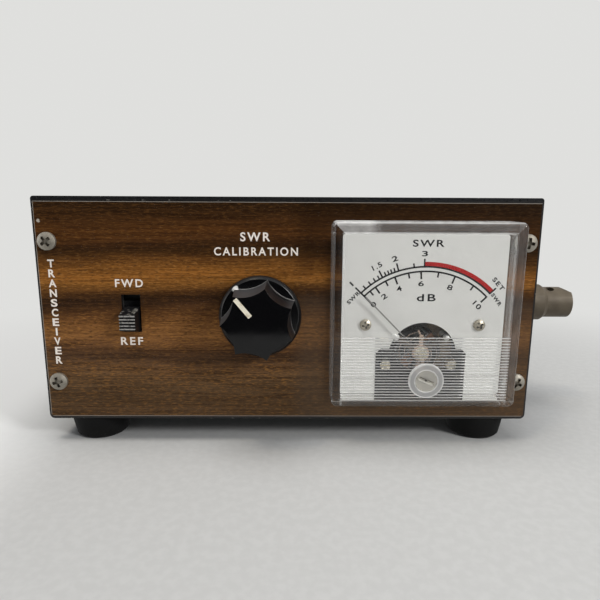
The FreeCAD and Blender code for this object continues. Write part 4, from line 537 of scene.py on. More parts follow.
# ---- level knob ----
# One glossy black moulding: a round skirt with a coned shoulder, seven hollow flutes that
# meet in ridges, and a flat face. It is hollow behind, over the control's nut and bush.
KNOB_HEIGHT = PANEL_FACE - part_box("knob")[0].y
FLUTE_COUNT, POINTER_LEAN = 7, 39.8
RIDGE_LOW, RIDGE_TOP, FLUTE_DEEP = 11.8 * MM, 10.7 * MM, 1.25 * MM
SKIRT, SKIRT_BACK, SKIRT_EDGE, SHOULDER = 12.5 * MM, 0.6 * MM, 1.8 * MM, 2.8 * MM
GRIP_BACK = 2 * MM
BORES = ((8.2, 0, 4.2), (3, 4, 11))
GRUB_RADIUS, GRUB_REACH, GRUB_OUT = 1.5 * MM, 12 * MM, 8 * MM
MOULDING, HANDLED_FILM = (0.004, 0.004, 0.0045), (0.09, 0.085, 0.08)
FLANK, FLANK_LIT, SKIRT_FLANK = (0.008, 0.008, 0.009), (0.060, 0.061, 0.064), (0.006, 0.006, 0.007)
CREASE_HIGHLIGHT, RIDGE_FOOT_HIGHLIGHT = (0.50, 0.49, 0.47), (0.80, 0.79, 0.76)


def middle_of(node):
    """The middle of a CAD node's box."""
    low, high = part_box(node)
    return (low + high) / 2


knob_axis = middle_of("pot_shaft")


def about(axis, depth, radius, clockwise):
    """A point at a depth, round an axis that runs front to back."""
    angle = math.radians(clockwise)
    return Vector((axis.x + radius * math.sin(angle), depth, axis.z + radius * math.cos(angle)))


def on_knob(radius, clockwise, height):
    """A point round the knob's axis, at a height in front of the panel."""
    return about(knob_axis, PANEL_FACE - height, radius, clockwise)


def start(add, name, scale=(1, 1, 1), **settings):
    """A new primitive, alone selected, with its size and its place in its mesh."""
    bpy.ops.object.select_all(action="DESELECT")
    add(**settings)
    piece = bpy.context.object
    piece.scale = scale
    piece.name = piece.data.name = name
    bpy.ops.object.transform_apply()
    return piece


def rod(name, radius, low, high, sides, out=0, clockwise=0):
    """A round bar that runs forward, between two heights in front of the panel."""
    return start(
        bpy.ops.mesh.primitive_cylinder_add, name, vertices=sides, radius=radius,
        depth=high - low, rotation=(FRONTWARD, 0, 0),
        location=on_knob(out, clockwise, (low + high) / 2),
    )


def pick(piece, kind, test):
    """In edit mode, selects just the vertices or faces whose middle passes a test."""
    bpy.ops.object.mode_set(mode="EDIT")
    bpy.ops.mesh.select_mode(type=kind)
    bpy.ops.mesh.select_all(action="DESELECT")
    bpy.ops.object.mode_set(mode="OBJECT")
    faces = kind == "FACE"
    for part in piece.data.polygons if faces else piece.data.vertices:
        part.select = test(part.center if faces else part.co)
    bpy.ops.object.mode_set(mode="EDIT")


def pushed(distance):
    """Extrudes the selected faces along the depth."""
    bpy.ops.mesh.extrude_region_move(TRANSFORM_OT_translate={"value": (0, distance, 0)})


def narrowed(share_x, share_z, centre):
    """Resizes what is selected about a point, across the front."""
    bpy.ops.transform.resize(value=(share_x, 1, share_z), center_override=centre)


def edit_all():
    """In edit mode, selects the whole piece."""
    bpy.ops.object.mode_set(mode="EDIT")
    bpy.ops.mesh.select_all(action="SELECT")


def leave_edit():
    """Back to object mode, with the mesh brought up to date."""
    bpy.ops.object.mode_set(mode="OBJECT")


def finish_with(piece, kind, **settings):
    """Adds a modifier and applies it."""
    only(piece)
    modifier = piece.modifiers.new(kind.lower(), kind)
    for name, value in settings.items():
        setattr(modifier, name, value)
    bpy.ops.object.modifier_apply(modifier=modifier.name)


def bevelled(piece, width, segments, degrees):
    """Rounds the edges sharper than an angle."""
    finish_with(
        piece, "BEVEL", width=width, segments=segments, limit_method="ANGLE",
        angle_limit=math.radians(degrees), use_clamp_overlap=True,
    )


def combined(piece, tool, operation="DIFFERENCE"):
    """Takes one solid out of another, or makes them one."""
    finish_with(piece, "BOOLEAN", operation=operation, object=tool, solver="EXACT")
    bpy.data.objects.remove(tool)


def shaded(piece, degrees):
    """Smooth shading that keeps the edges sharper than an angle."""
    only(piece)
    bpy.ops.object.shade_smooth_by_angle(angle=math.radians(degrees))


def off_axis(place, axis):
    """How far a place lies from an axis that runs front to back."""
    foot = fed_node("CombineXYZ", {0: axis.x, 1: along(place, "Y"), 2: axis.z})
    return vectors("DISTANCE", place, foot.outputs[0])["Value"]


skirt = rod("knob_skirt", SKIRT, SKIRT_BACK, SKIRT_EDGE, 168)
front = PANEL_FACE - SKIRT_EDGE
pick(skirt, "FACE", lambda at: abs(at.y - front) < 1e-5)
pushed(SKIRT_EDGE - SHOULDER)
share = (RIDGE_LOW - 0.2 * MM) / SKIRT
narrowed(share, share, on_knob(0, 0, SHOULDER))
leave_edit()
half_step = math.pi / FLUTE_COUNT
half_chord = RIDGE_LOW * math.sin(half_step)
hollow = (half_chord ** 2 + FLUTE_DEEP ** 2) / (2 * FLUTE_DEEP)
valley = RIDGE_LOW * math.cos(half_step) - FLUTE_DEEP
grip = rod("fluted_knob", RIDGE_LOW + 1 * MM, GRIP_BACK, KNOB_HEIGHT, 168)
for flute in range(FLUTE_COUNT):
    clockwise = -POINTER_LEAN + (flute + 0.5) * 360 / FLUTE_COUNT
    combined(grip, rod(
        "flute_tool", hollow, -KNOB_HEIGHT / 2, 1.5 * KNOB_HEIGHT, 144, valley + hollow, clockwise,
    ))
front = PANEL_FACE - KNOB_HEIGHT
pick(grip, "VERT", lambda at: abs(at.y - front) < 1e-5)
share = RIDGE_TOP / RIDGE_LOW
narrowed(share, share, on_knob(0, 0, KNOB_HEIGHT))
bpy.ops.mesh.select_all(action="SELECT")
bpy.ops.mesh.remove_doubles(threshold=0.03 * MM)
leave_edit()
bevelled(grip, 0.3 * MM, 4, 35)
bevelled(skirt, 0.25 * MM, 3, 20)
combined(grip, skirt, "UNION")
for radius, low, high in BORES:
    combined(grip, rod("bore_tool", radius * MM, low * MM, high * MM, 64))
grub_height = PANEL_FACE - middle_of("knob_set_screw").y
outward = on_knob(1, 180 - POINTER_LEAN, 0) - on_knob(0, 0, 0)
combined(grip, start(
    bpy.ops.mesh.primitive_cylinder_add, "set_screw_tool", vertices=32, radius=GRUB_RADIUS,
    depth=GRUB_REACH, rotation=outward.to_track_quat("Z", "Y").to_euler(),
    location=on_knob(GRUB_OUT, 180 - POINTER_LEAN, grub_height),
))
shaded(grip, 32)
finish_with(grip, "WEIGHTED_NORMAL", keep_sharp=True, weight=90)
gloss, shader, place = new_material("black_gloss", MOULDING, 0.08)
handled = noise(place, 230, 4)
normal = add_node(gloss.node_tree, "NewGeometry").outputs["Normal"]
flank = ranged(along(normal, "Y"), -0.65, -0.35)
on_grip = ranged(off_axis(place, knob_axis), 0.01195, 0.01185)
# Painted light: the flanks are painted lighter where they face up and to the left, towards the
# overhead lamps, and darker where they face away; the skirt's side stays dark.
lit_way = vectors("DOT_PRODUCT", normal, (-0.6, 0, 0.8))["Value"]
flank_painted_light = blended(ranged(lit_way, 0.45, 0.85), FLANK, FLANK_LIT)
flank_painted_light = blended(on_grip, SKIRT_FLANK, flank_painted_light)
colour = blended(times(specked(place, 2200, 0.34)["Mask"], 0.12), MOULDING, HANDLED_FILM)
colour = blended(flank, colour, flank_painted_light)
depth = less(PANEL_FACE - SHOULDER, along(place, "Y"))
# Painted highlight: a thin pale line along the crease where the flutes meet the shoulder, on
# upward-facing flanks only, broken up by a noise.
off_crease = off(depth, 0.00045)
crease_highlight = times(ranged(off_crease, 0.0003, 0.00012), ranged(handled, 0.3, 0.55, 0.35, 1))
crease_highlight = times(crease_highlight, times(flank, ranged(along(normal, "Z"), -0.3, 0.3)))
colour = blended(times(crease_highlight, on_grip), colour, CREASE_HIGHLIGHT)
# Painted highlight: a pale spot at the foot of the pointer ridge.
ridge_foot = vectors("DISTANCE", place, on_knob(11.7 * MM, -POINTER_LEAN, 3.6 * MM))["Value"]
colour = blended(ranged(ridge_foot, 0.0015, 0.0012), colour, RIDGE_FOOT_HIGHLIGHT)
smooth = ranged(handled, 0.35, 0.7, 0.05, 0.09)
beyond = larger(less(1, on_grip), ranged(depth, 0.0001, -0.0001))
smooth = larger(smooth, times(beyond, 0.3))
fill(shader, {"Base Color": colour, "Roughness": larger(smooth, times(flank, 0.42))})
settled(grip, gloss, "knob_black", "knob", "knob")

# ---- pointer line ----
# A bar of cream plastic pressed into the face of the knob, rubbed flush with it and slightly
# stained by handling. It turns with the knob.
CREAM, STAIN = (0.96, 0.90, 0.73), (0.72, 0.63, 0.45)


def clouded(name, light, dark, roughness, scale, detail, low, high, specular=0.5):
    """A material that goes from one colour to another in soft clouds."""
    made, shader, place = new_material(name, light, roughness, specular=specular)
    cloud = ranged(noise(place, scale, detail), low, high)
    paint(shader, blended(cloud, light, dark))
    return made


dress(clouded("cream_filling", CREAM, STAIN, 0.38, 700, 4, 0.45, 0.75), "knob_pointer")

# ---- slide switch ----
# Black nylon finger piece with five rounded ribs on its face, sliding in a slot of the plate.
# A painted highlight runs along the upper part of the ribs' crests. Dust has settled on its
# upper slope.
shoe_low, shoe_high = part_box("switch_actuator")
slide_x, _, slide_z = middle_of("switch_actuator")
FINGER_W, ROOT_H, FACE_H, RIBS = 4.85 * MM, 7.6 * MM, 4.9 * MM, 5
RIB_PITCH, RIB_RISE, HALF_GROOVE = FACE_H / RIBS, 0.4 * MM, 0.2 * MM
SHOE_T = 1.8 * MM
NYLON, CREST_HIGHLIGHT, FLUFF = (0.007, 0.007, 0.008), (0.40, 0.39, 0.37), (0.30, 0.285, 0.25)
finger_face = shoe_low.y
finger_back = shoe_high.y - SHOE_T / 2


def block(name, size, centre):
    """A square-edged block about a point."""
    return start(bpy.ops.mesh.primitive_cube_add, name, size=1, scale=size, location=centre)


def is_rib(at):
    """True on the face of the finger, outside the grooves between its ribs."""
    if at.y > finger_face + RIB_RISE + 0.01 * MM:
        return False
    offset = (at.z - slide_z + FACE_H / 2) / RIB_PITCH
    return abs(offset - round(offset)) > 0.21 or offset < 0.3 or offset > RIBS - 0.3


finger = block(
    "slide_finger", (FINGER_W, finger_back - PANEL_FACE, ROOT_H),
    (slide_x, (finger_back + PANEL_FACE) / 2, slide_z),
)
pick(finger, "FACE", lambda at: at.y < PANEL_FACE + 1e-5)
pushed(finger_face + RIB_RISE - PANEL_FACE)
narrowed(0.98, FACE_H / ROOT_H, (slide_x, finger_face, slide_z))
leave_edit()
for rib in range(1, RIBS):
    for side in (-1, 1):
        edit_all()
        level = slide_z - FACE_H / 2 + rib * RIB_PITCH + side * HALF_GROOVE
        bpy.ops.mesh.bisect(plane_co=(slide_x, 0, level), plane_no=(0, 0, 1))
        leave_edit()
pick(finger, "FACE", is_rib)
pushed(-RIB_RISE)
leave_edit()
bevelled(finger, 0.13 * MM, 3, 30)
shoe = block(
    "slide_shoe", (shoe_high.x - shoe_low.x, SHOE_T, shoe_high.z - shoe_low.z),
    (slide_x, finger_back, slide_z),
)
finish_with(shoe, "BEVEL", width=0.2 * MM, segments=2)
finger = joined([finger, shoe], "slide_finger")
shaded(finger, 40)
nylon, shader, place = new_material("black_nylon", NYLON, 0.5, specular=0.22)
normal = add_node(nylon.node_tree, "NewGeometry").outputs["Normal"]
# Painted highlight: the ribs' crests are painted pale on the upper part of each rib, broken up by a
# noise.
crest_highlight = ranged(along(place, "Y"), finger_face + 0.00012, finger_face + 0.00003)
crest_highlight = times(crest_highlight, ranged(noise(place, 1300, 3), 0.3, 0.55, 0.35, 1))
up_face = less(along(place, "Z"), slide_z - FACE_H / 2)
up_rib = maths("FRACT", maths("DIVIDE", up_face, RIB_PITCH))
crest_highlight = times(crest_highlight, times(ranged(up_rib, 0.34, 0.46), ranged(up_rib, 0.88, 0.80)))
colour = blended(times(crest_highlight, 0.9), NYLON, CREST_HIGHLIGHT)
fluff = specked(place, 1000, 0.44)
out_of_slot = ranged(along(place, "Y"), PANEL_FACE + 0.0006, PANEL_FACE)
dust = times(fluff["Mask"], ranged(along(normal, "Z"), 0.4, 0.7), out_of_slot)
paint(shader, blended(times(dust, 0.85), colour, FLUFF))
bumped(shader, fluff["Height"], 0.5, 0.00012)
settled(finger, nylon, "black_plastic", "switch_slider", "switch_actuator")

# ---- meter cover ----
# One clear polystyrene moulding, polished inside and out: thick rounded walls, a flat window
# and fine saw-cut ribs over its lower part. It is pressed on the meter's tray.
cover_low, cover_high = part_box("meter_cover")
head_axis = middle_of("zero_screw")
WALL, FLOOR_WALL, BOSS_PROUD, RIM_WIDE = 2.75 * MM, 1.8 * MM, 0.7 * MM, 3.6 * MM
RIBS_TOP, CLEAR_FROM, CLEAR_TO = 22.2 * MM, 22 * MM, 25 * MM
CLEAR, FROST, POLISH, SEEN_THROUGH = (
    (0.965, 0.965, 0.96), (0.92, 0.915, 0.90), (0.97, 0.97, 0.96), (0.96, 0.96, 0.955),
)
STYRENE_IOR = 1.46
# Strength of the walls' painted highlights, from their outer edge inward.
RIM_HIGHLIGHTS = (
    (0, 0.13), (0.07, 0.26), (0.15, 0.01), (0.45, 0.02), (0.60, 0.03), (0.74, 0),
    (0.83, 0.24), (0.91, 0.24), (0.96, 0),
)
window = cover_low.y + BOSS_PROUD
clear, shader, place = new_material("clear_styrene", CLEAR, 0.02, specular=0.35)
fill(shader, {"Transmission Weight": 1, "IOR": STYRENE_IOR})
x, y, z = (along(place, axis) for axis in "XYZ")
cloudy = noise(place, 260, 3)
above_ribs = ranged(z, cover_low.z + CLEAR_FROM, cover_low.z + CLEAR_TO)
bumped(shader, times(noise(place, 90), above_ribs), 0.05, 0.0001)
# The saw cuts of the ribs, pale where the saw has roughened them.
from_left = less(x, cover_low.x)
inside_x = maths("MINIMUM", from_left, less(cover_high.x, x))
over_floor = less(z, cover_low.z)
groove = times(
    ranged(y, window + 0.00001, window + 0.00004), ranged(y, window + 0.00034, window + 0.00032),
    maths("GREATER_THAN", inside_x, WALL - 0.0001),
    maths("GREATER_THAN", over_floor, FLOOR_WALL), maths("LESS_THAN", over_floor, RIBS_TOP),
)
# The walls, painted as fine pale lines round the window and a veil along its top: painted
# highlights, strongest on the top wall and towards the left, and faint along the floor wall.
from_top = less(cover_high.z, z)
rim_share = maths("DIVIDE", maths("MINIMUM", inside_x, from_top), RIM_WIDE)
rim_highlights = laid(rim_share, [(position, (amount,) * 3) for position, amount in RIM_HIGHLIGHTS])
on_top = maths("LESS_THAN", from_top, inside_x)
top_highlight = times(
    on_top, ranged(rim_share, 0.93, 0.90), ranged(from_left, 0.010, 0.014, 0.40, 0.12),
)
side = times(rim_highlights, maths("ADD", 0.8, times(on_top, 0.4)))
side = times(maths("ADD", side, top_highlight), ranged(cloudy, 0.3, 0.7, 0.8, 1.2))
under = maths("LESS_THAN", over_floor, FLOOR_WALL - 0.0001)
side = larger(side, times(under, 0.032))
off_sill = off(over_floor, FLOOR_WALL)
sill = maths("LESS_THAN", off_sill, 0.00004)
# The boss round the zero screw, frosted most at its inner and outer edges.
round_boss = off_axis(place, head_axis)
ring = larger(ranged(round_boss, 0.0037, 0.0034), ranged(round_boss, 0.0046, 0.005))
ring = times(ring, ranged(cloudy, 0.35, 0.65, 0.2, 0.5))
boss = times(
    ranged(round_boss, 0.0032, 0.0033), ranged(round_boss, 0.0053, 0.0052),
    maths("LESS_THAN", y, window + 0.0012), maths("ADD", 0.42, ring),
)
pale = larger(times(groove, 0.40), larger(side, boss))
tree = clear.node_tree
facets = add_node(tree, "VectorMath", {0: (0, -0.6, 0.8)}, operation="NORMALIZE")
frost = add_node(tree, "BsdfDiffuse", {"Color": FROST, "Normal": facets.outputs[0]})
polish = add_node(tree, "BsdfGlossy", {"Color": POLISH, "Roughness": 0.04})
frost_and_highlights = mixed(times(sill, 0.85), mixed(pale, shader, frost), polish)
rays = add_node(tree, "LightPath").outputs
unlit = larger(rays["Is Shadow Ray"], rays["Is Diffuse Ray"])
through = add_node(tree, "BsdfTransparent", {"Color": SEEN_THROUGH})
fill(tree.nodes["Material Output"], {"Surface": mixed(unlit, frost_and_highlights, through).outputs[0]})
dress(clear, "meter_cover")

# ---- dial plate ----
# Thin aluminium sheet, stamped, in a light grey-white enamel that has a few dark motes of
# dust. Two small cross-head screws hold it on the meter's tray.
DIAL_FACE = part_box("dial_plate")[0].y
DIAL_LIGHT, DIAL_DARK, MOTE = (0.83, 0.825, 0.80), (0.77, 0.765, 0.74), (0.34, 0.33, 0.30)
enamelled, shader, place = new_material("dial_enamel", DIAL_LIGHT, 0.5)
colour = blended(ranged(noise(place, 60, 5, 0.6), 0.35, 0.7), DIAL_LIGHT, DIAL_DARK)
motes = times(specked(place, 1800, 0.30)["Mask"], 0.3)
paint(shader, blended(motes, colour, MOTE))
dress(enamelled, "dial_plate")

# ---- dial printing ----
# Black ink a few hundredths thick: an outer scale of standing wave ratio from 1 to 3 with a
# mark for full scale, an inner scale of decibels from 0 to 10, and their names.
pivot = middle_of("core_magnet")
DIAL_INK, FIGURE_TALL = 0.03 * MM, 1.55 * MM
OUTER_ARC, INNER_ARC, HALF_LINE, BAND_TOP = 26.96, 25.6, 0.25, 28.4
INK_BLACK, THIN_BLACK = (0.006, 0.006, 0.007), (0.025, 0.025, 0.025)
TICKS = (
    (OUTER_ARC, 28.2, 0.44, (-41.1, -37.1, -33.6, -30.7, -26.1, -24, -22.1, -20, -7.9)),
    (OUTER_ARC, 29.3, 0.48, (-45.1, -28.5, -17.7, -1.4, 45.1)),
    (24, INNER_ARC, 0.48, (-39.9, -27.8, -11.9, 8, 33.4)),
    (23.3, INNER_ARC, 0.52, (-35.5, -21.2, -3.6, 19.3, 45.2)),
    (22.4, OUTER_ARC, 0.52, (-45,)),
)
FIGURES = (
    ("1", 30.9, -45.2, 0.5), ("1.5", 30.75, -28.4, 3), ("2", 30.75, -17.9, 1.7),
    ("3", 30.8, -1.4, 1.7), ("0", 21.85, -44.4, 1.5), ("2", 21.8, -34, 1.6),
    ("4", 21.85, -21.2, 1.6), ("6", 22, -3.8, 1.6), ("8", 22, 18.9, 1.6),
    ("10", 21.95, 45, 2.7),
)
NAMES = (
    ("SWR", 40.8, 55.5, 9.2, 2.05, 0, 0.02), ("dB", 40.9, 39.45, 5.6, 2.15, 0, 0.016),
    ("SWR", 19.3, 39.35, 4.7, 1.2, -46, 0.03), ("SET", 62, 43.6, 4.6, 1.4, 48, 0.026),
    ("SWR", 61.75, 38.9, 4.4, 1.2, 52, 0.03),
)


def on_dial(radius, clockwise):
    """A point of the dial, at a radius in millimetres and a turn from upright."""
    return about(pivot, DIAL_FACE, radius * MM, clockwise)


def tick(inner, outer, clockwise, width, name="tick"):
    """One short radial line."""
    return start(
        bpy.ops.mesh.primitive_plane_add, name, size=1,
        scale=(width * MM, (outer - inner) * MM, 1),
        location=on_dial((inner + outer) / 2, clockwise),
        rotation=(FRONTWARD, math.radians(clockwise), 0),
    )


def arc_band(name, inner, outer, from_angle, to_angle):
    """A thin band round the pivot, spun from one short radial edge."""
    band = tick(inner, outer, from_angle, 0.1, name)
    centre = on_dial(0, 0)
    start_way = on_dial(1, from_angle) - centre
    side_way = Vector((start_way.z, 0, -start_way.x))
    pick(band, "VERT", lambda at: (at - centre).dot(side_way) > 0)
    bpy.ops.mesh.delete(type="VERT")
    bpy.ops.mesh.select_all(action="SELECT")
    bpy.ops.mesh.spin(
        steps=48, angle=math.radians(to_angle - from_angle), center=centre, axis=(0, -1, 0),
    )
    leave_edit()
    return band


def thickened(piece, thickness):
    """Printed lines given the body of their ink, towards the front."""
    finish_with(piece, "WELD", merge_threshold=1e-6)
    edit_all()
    pushed(-thickness)
    bpy.ops.mesh.select_all(action="SELECT")
    bpy.ops.mesh.normals_make_consistent(inside=False)
    leave_edit()


lines = [
    arc_band("outer_arc", OUTER_ARC - HALF_LINE, OUTER_ARC + HALF_LINE, -45.4, 45.4),
    arc_band("inner_arc", INNER_ARC - HALF_LINE, INNER_ARC + HALF_LINE, -45.4, 45.6),
]
for inner, outer, width, angles in TICKS:
    lines += [tick(inner, outer, angle, width) for angle in angles]
lines = joined(lines, "scale_lines")
thickened(lines, DIAL_INK)
figures = [
    words(text, width * MM, FIGURE_TALL, DIAL_INK, on_dial(radius, angle), angle, 0.018, 1.15)
    for text, radius, angle, width in FIGURES
]
for text, x, z, width, tall, clockwise, weight in NAMES:
    spot = on_trim(x, z)
    spot.y = DIAL_FACE
    figures.append(words(text, width * MM, tall * MM, DIAL_INK, spot, clockwise, weight, 1.25))
printing = joined([lines] + figures, "scale_printing")
black_ink = clouded("black_ink", INK_BLACK, THIN_BLACK, 0.6, 2600, 2, 0.45, 0.8, specular=0.08)
settled(printing, black_ink, "black_plastic", "case")

# ---- red band ----
# The part of the outer scale past a ratio of 3, printed as a solid band of red ink just
# outside the arc's line.
RED, DARK_RED = (0.50, 0.012, 0.012), (0.38, 0.008, 0.009)
red_band = arc_band("red_band", OUTER_ARC + HALF_LINE, BAND_TOP, -1.2, 45)
thickened(red_band, DIAL_INK)
red_ink = clouded("red_ink", RED, DARK_RED, 0.5, 900, 4, 0.4, 0.8, specular=0.08)
settled(red_band, red_ink, "black_plastic", "case")

# ---- dial screws ----
# Two M2 pan-head screws of bright nickel-plated steel, with old dirt and painted shade in
# their cross recess.
# They clamp the dial plate to the tray.
bright_nickel = plated(
    "bright_nickel", (0.46, 0.42, 0.35), (0.33, 0.30, 0.24), (0.34, 0.46), 1400,
)
shade_and_grime(bright_nickel, 0.8 * MM, (0.03, 0.028, 0.025))
dress(bright_nickel, "dial_screws")

# ---- meter case ----
# Black phenolic-type moulding behind the dial, matte, with the barrel of the movement. The
# slide switch's contact block is of the same stuff.
PHENOLIC, FILLER = (0.010, 0.010, 0.011), (0.055, 0.053, 0.05)
moulded, shader, place = new_material("black_moulding", PHENOLIC, 0.55)
grainy = specked(place, 1900, 0.40)
paint(shader, blended(times(grainy["Mask"], 0.3), PHENOLIC, FILLER))
bumped(shader, grainy["Height"], 0.3, 0.00005)
dress(moulded, "meter_body", "switch_body")

# ---- movement: iron and magnet ----
# A turned ring of soft iron under dark varnish, round a cast core magnet. Right of the pivot
# it is painted lighter brown and more metallic, as painted light from the right-hand lamp.
# Spacers hold the magnet in the middle of the ring.
VARNISH, RIGHT_LIT_IRON, RIGHT_LIT_IRON_PALE = (0.012, 0.010, 0.009), (0.15, 0.11, 0.075), (0.24, 0.19, 0.14)
LIT_FROM, LIT_TO = 1.5 * MM, 5 * MM
varnished, shader, place = new_material("varnished_iron", VARNISH, 0.35, specular=0.2)
turned_lines = placed(brushed, place, Stretch=(1, 1, 1), Scale=240)
# Painted light: right of the pivot the varnish turns to a lit brown and grows metallic.
right_of = less(along(place, "X"), pivot.x)
right_lit_iron = blended(ranged(turned_lines["Blotch"], 0.35, 0.7), RIGHT_LIT_IRON, RIGHT_LIT_IRON_PALE)
fill(shader, {
    "Base Color": blended(ranged(right_of, LIT_FROM, LIT_TO), VARNISH, right_lit_iron),
    "Roughness": ranged(turned_lines["Value"], 0.3, 0.7, 0.28, 0.5),
    "Metallic": ranged(right_of, LIT_FROM, LIT_TO, 0.1, 0.7),
})
dress(varnished, "yoke_ring", "core_spacers")
cast = plated("cast_magnet", (0.06, 0.057, 0.054), (0.03, 0.029, 0.027), (0.5, 0.7), 1500)
dress(cast, "core_magnet")

# ---- movement: brass work ----
# Turned and sheared brass, bare: rear bridge, terminals, line and contacts, and the frame
# screws and jewel screw in front, painted paler as painted highlights.
brass = plated("bare_brass", (0.62, 0.50, 0.28), (0.42, 0.32, 0.17), (0.22, 0.42), 1200)
dress(brass, "rear_bridge", "meter_terminals", "line_trough", "through_line", "socket_contacts")
# Painted highlight: the frame screws and jewel screw are painted pale for their glints.
brass_painted_glint = plated("brass_painted_glint", (0.80, 0.75, 0.62), (0.58, 0.52, 0.41), (0.2, 0.4), 1200)
dress(brass_painted_glint, "frame_screws", "jewel_screw")

# ---- movement: coil ----
# Fine enamelled copper wire wound in layers on a former of bent aluminium sheet. The two
# pickup lines by the radio-frequency line are of the same wire, thicker.
WIRE_DARK, WIRE_LIGHT = (0.16, 0.075, 0.045), (0.36, 0.18, 0.10)
wound, shader, place = new_material("enamelled_wire", WIRE_LIGHT, 0.3, 0.8)
layers = {"Vector": place, "Scale": 1900, "Distortion": 0.6, "Detail": 1}
turns = fed_node("TexWave", layers, bands_direction="Y").outputs["Fac"]
paint(shader, blended(turns, WIRE_DARK, WIRE_LIGHT))
bumped(shader, turns, 0.4, 0.00004)
dress(wound, "coil_winding", "pickup_lines")
sheet_aluminium = plated(
    "sheet_aluminium", (0.62, 0.62, 0.63), (0.46, 0.46, 0.47), (0.28, 0.45), 700, (1, 12, 1),
)
dress(sheet_aluminium, "coil_former")

# ---- movement: needle ----
# A fine blade of rolled aluminium, lacquered grey, which carries its balance weights and is
# fixed to the front pivot of the coil.
LACQUER, THIN_LACQUER = (0.24, 0.235, 0.225), (0.34, 0.33, 0.31)
dress(clouded("needle_lacquer", LACQUER, THIN_LACQUER, 0.45, 900, 2, 0.4, 0.75), "needle")

# ---- movement: front bridge and painted white glints ----
# A bridge of dull bronze on two pillars painted white as painted glints. Two white drops are
# painted glints too: one on the right-hand pillar and one on the dial, at the left of its hole.
dull_bronze = plated("dull_bronze", (0.13, 0.105, 0.08), (0.07, 0.056, 0.045), (0.45, 0.6), 1500)
dress(dull_bronze, "front_bridge")
GLINT_WHITE, GLINT_GREY, DROP_RADIUS = (0.96, 0.96, 0.94), (0.88, 0.88, 0.85), 0.95 * MM
# Painted highlight: the white pillars and drops stand for glints.
painted_glint, shader, place = new_material("white_painted_glint", GLINT_WHITE, 0.36, specular=1)
paint(shader, blended(noise(place, 1600), GLINT_WHITE, GLINT_GREY))
dress(painted_glint, "bridge_pillars")
pillars_low, pillars_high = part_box("bridge_pillars")
DROPS = (
    (pivot.x - 8.7 * MM, DIAL_FACE, pivot.z + 5.8 * MM, 0.4),
    (pillars_high.x - 1.2 * MM, pillars_low.y - 0.1 * MM, pillars_high.z - 0.7 * MM, 1.6),
)
drops = []
for *at_drop, rise in DROPS:
    drop = start(
        bpy.ops.mesh.primitive_uv_sphere_add, "glint_drop", segments=24, ring_count=12,
        radius=DROP_RADIUS, scale=(1, rise, 0.9),
    )
    pick(drop, "VERT", lambda at: at.y > 1e-6)
    bpy.ops.transform.resize(value=(1, 0.15, 1))
    leave_edit()
    drop.location = at_drop
    bpy.ops.object.transform_apply()
    shaded(drop, 60)
    drops.append(drop)
drops = joined(drops, "glint_drops")
settled(drops, painted_glint, "dial_white", "case")

# ---- movement: hairspring and zero arm ----
# A spiral of phosphor bronze ribbon, hooked at its outer end to the forked zero arm, which
# is stamped from sheet. Both look pinkish against the black behind them.
bronze = plated("pink_bronze", (0.64, 0.50, 0.41), (0.47, 0.35, 0.28), (0.2, 0.38), 1500)
dress(bronze, "hairspring", "zero_arm")

# ---- zero screw ----
# Slotted screw of clear plastic in the window's boss, frosted by the mould, with painted shade
# along the upper edge of its slot and in a small dimple, and a painted highlight along the
# lower edge. Its crank pin swings the zero arm.
SLOT_TILT = math.radians(23)
SLOT_DOWN = (math.sin(SLOT_TILT), 0, math.cos(SLOT_TILT))
SLOT_UPPER, SLOT_LOWER = 0.38 * MM, 0.42 * MM
FROSTED_LIGHT, FROSTED_DARK = (0.66, 0.645, 0.60), (0.56, 0.545, 0.50)
SLOT_SHADE, SLOT_GLINT, DIMPLE_SHADE = (0.20, 0.18, 0.15), (0.95, 0.94, 0.88), (0.015, 0.014, 0.012)
frosted, shader, place = new_material("frosted_styrene", FROSTED_LIGHT, 0.2)
haze = noise(place, 420, 3)
from_axis = vectors("SUBTRACT", place, head_axis)[0]
across_slot = vectors("DOT_PRODUCT", from_axis, SLOT_DOWN)["Value"]
upper_edge = off(across_slot, SLOT_UPPER)
lower_edge = maths("ABSOLUTE", maths("ADD", across_slot, SLOT_LOWER))
from_dimple = off_axis(place, head_axis)
on_face = ranged(from_dimple, 0.0024, 0.0023)
colour = blended(haze, FROSTED_LIGHT, FROSTED_DARK)
# Painted shade along the slot's upper edge and in the dimple, and a painted highlight along its
# lower edge.
slot_shade = times(on_face, ranged(upper_edge, 0.0003, 0.00012, 0, 0.95))
colour = blended(slot_shade, colour, SLOT_SHADE)
colour = blended(times(on_face, ranged(lower_edge, 0.00026, 0.00014)), colour, SLOT_GLINT)
fill(shader, {
    "Base Color": blended(ranged(from_dimple, 0.00036, 0.00024), colour, DIMPLE_SHADE),
    "Roughness": ranged(haze, 0.3, 0.7, 0.22, 0.26),
    "Transmission Weight": 0.55, "IOR": STYRENE_IOR,
})
tree = frosted.node_tree
through = add_node(tree, "BsdfTransparent", {"Color": (0.8, 0.8, 0.79)})
rays = add_node(tree, "LightPath").outputs
both = mixed(rays["Is Shadow Ray"], shader, through)
fill(tree.nodes["Material Output"], {"Surface": both.outputs[0]})
dress(frosted, "zero_screw")

# ---- sockets, plug and coupling ring ----
# Turned brass under satin nickel that has gone warm and dull: a flanged socket on each
# side, and a plug with its knurled ring in the right-hand one.
satin_nickel = plated(
    "satin_nickel", (0.143, 0.116, 0.081), (0.112, 0.090, 0.063), (0.5, 0.62), 160,
    (1, 9, 9), metallic=0.3,
)
dress(satin_nickel, "socket_left", "socket_right", "plug_body", "coupling_ring", "plug_pin")

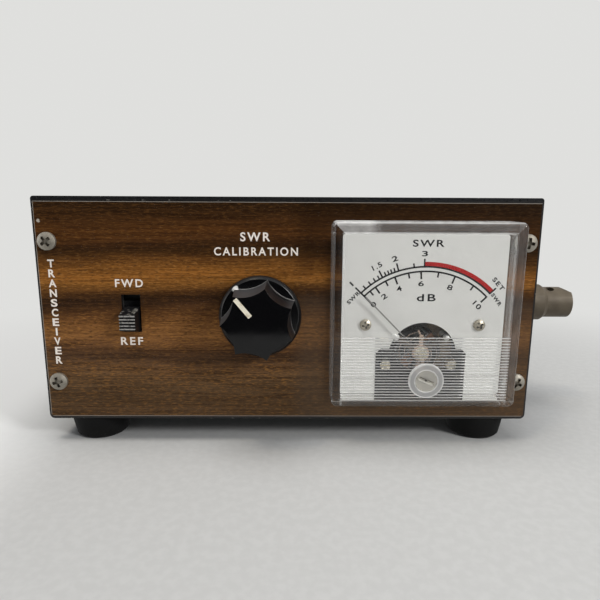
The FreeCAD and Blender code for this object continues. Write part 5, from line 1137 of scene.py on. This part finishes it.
# ---- insulators ----
# Turned discs of an off-white insulating plastic, pressed into the sockets and the plug
# round their centre contacts.
INSULATOR, YELLOWED = (0.64, 0.62, 0.57), (0.52, 0.49, 0.41)
disc = clouded("white_insulator", INSULATOR, YELLOWED, 0.45, 500, 4, 0.35, 0.7)
dress(disc, "socket_insulators", "plug_insulator")

# ---- feet ----
# Tapered matte rubber feet with a moulded skin, greyed by dust near the counter. A screw in
# the recess of each holds it to the floor of the case.
RUBBER, FOOT_DUST = (0.005, 0.005, 0.005), (0.07, 0.066, 0.06)
rubber, shader, place = new_material("black_rubber", RUBBER, 0.8, specular=0.25)
skin = specked(place, 2400, 0.42)
low_dust = maths("ADD", 0.05, times(ranged(along(place, "Z"), 0.0035, 0), 0.25))
paint(shader, blended(times(skin["Mask"], low_dust), RUBBER, FOOT_DUST))
bumped(shader, skin["Height"], 0.4, 0.00008)
dress(rubber, "foot_front_left", "foot_front_right", "foot_rear_left", "foot_rear_right")

# ---- small steel parts inside ----
# Nuts, strap, studs, control can, lugs and rivets: turned, pressed or bent from steel, and
# plated in zinc that has gone dull.
zinc = plated("dull_zinc", (0.50, 0.50, 0.48), (0.36, 0.355, 0.33), (0.34, 0.55), 1000)
dress(
    zinc, "nuts", "knob_set_screw", "pot_body", "pot_shaft", "pot_washer", "pot_nut",
    "pot_terminals", "switch_frame", "switch_rivets", "switch_terminals", "meter_studs",
    "board_screws",
)

# ---- circuit board and its parts ----
# Paper laminate board behind the line, held by its screws, with two diodes, two resistors
# and three capacitors soldered to it by their leads.
PAPER, PAPER_DARK = (0.38, 0.235, 0.09), (0.28, 0.165, 0.06)
laminate = clouded("paper_laminate", PAPER, PAPER_DARK, 0.5, 700, 5, 0.35, 0.7)
dress(laminate, "circuit_board")
for name, light, dark, roughness in (
    ("diodes", (0.45, 0.16, 0.06), (0.06, 0.05, 0.05), 0.15),
    ("resistors", (0.40, 0.27, 0.15), (0.30, 0.19, 0.10), 0.4),
    ("capacitors", (0.46, 0.19, 0.05), (0.33, 0.13, 0.035), 0.35),
):
    dress(clouded("lacquer_of_" + name, light, dark, roughness, 420, 3, 0.4, 0.65), name)
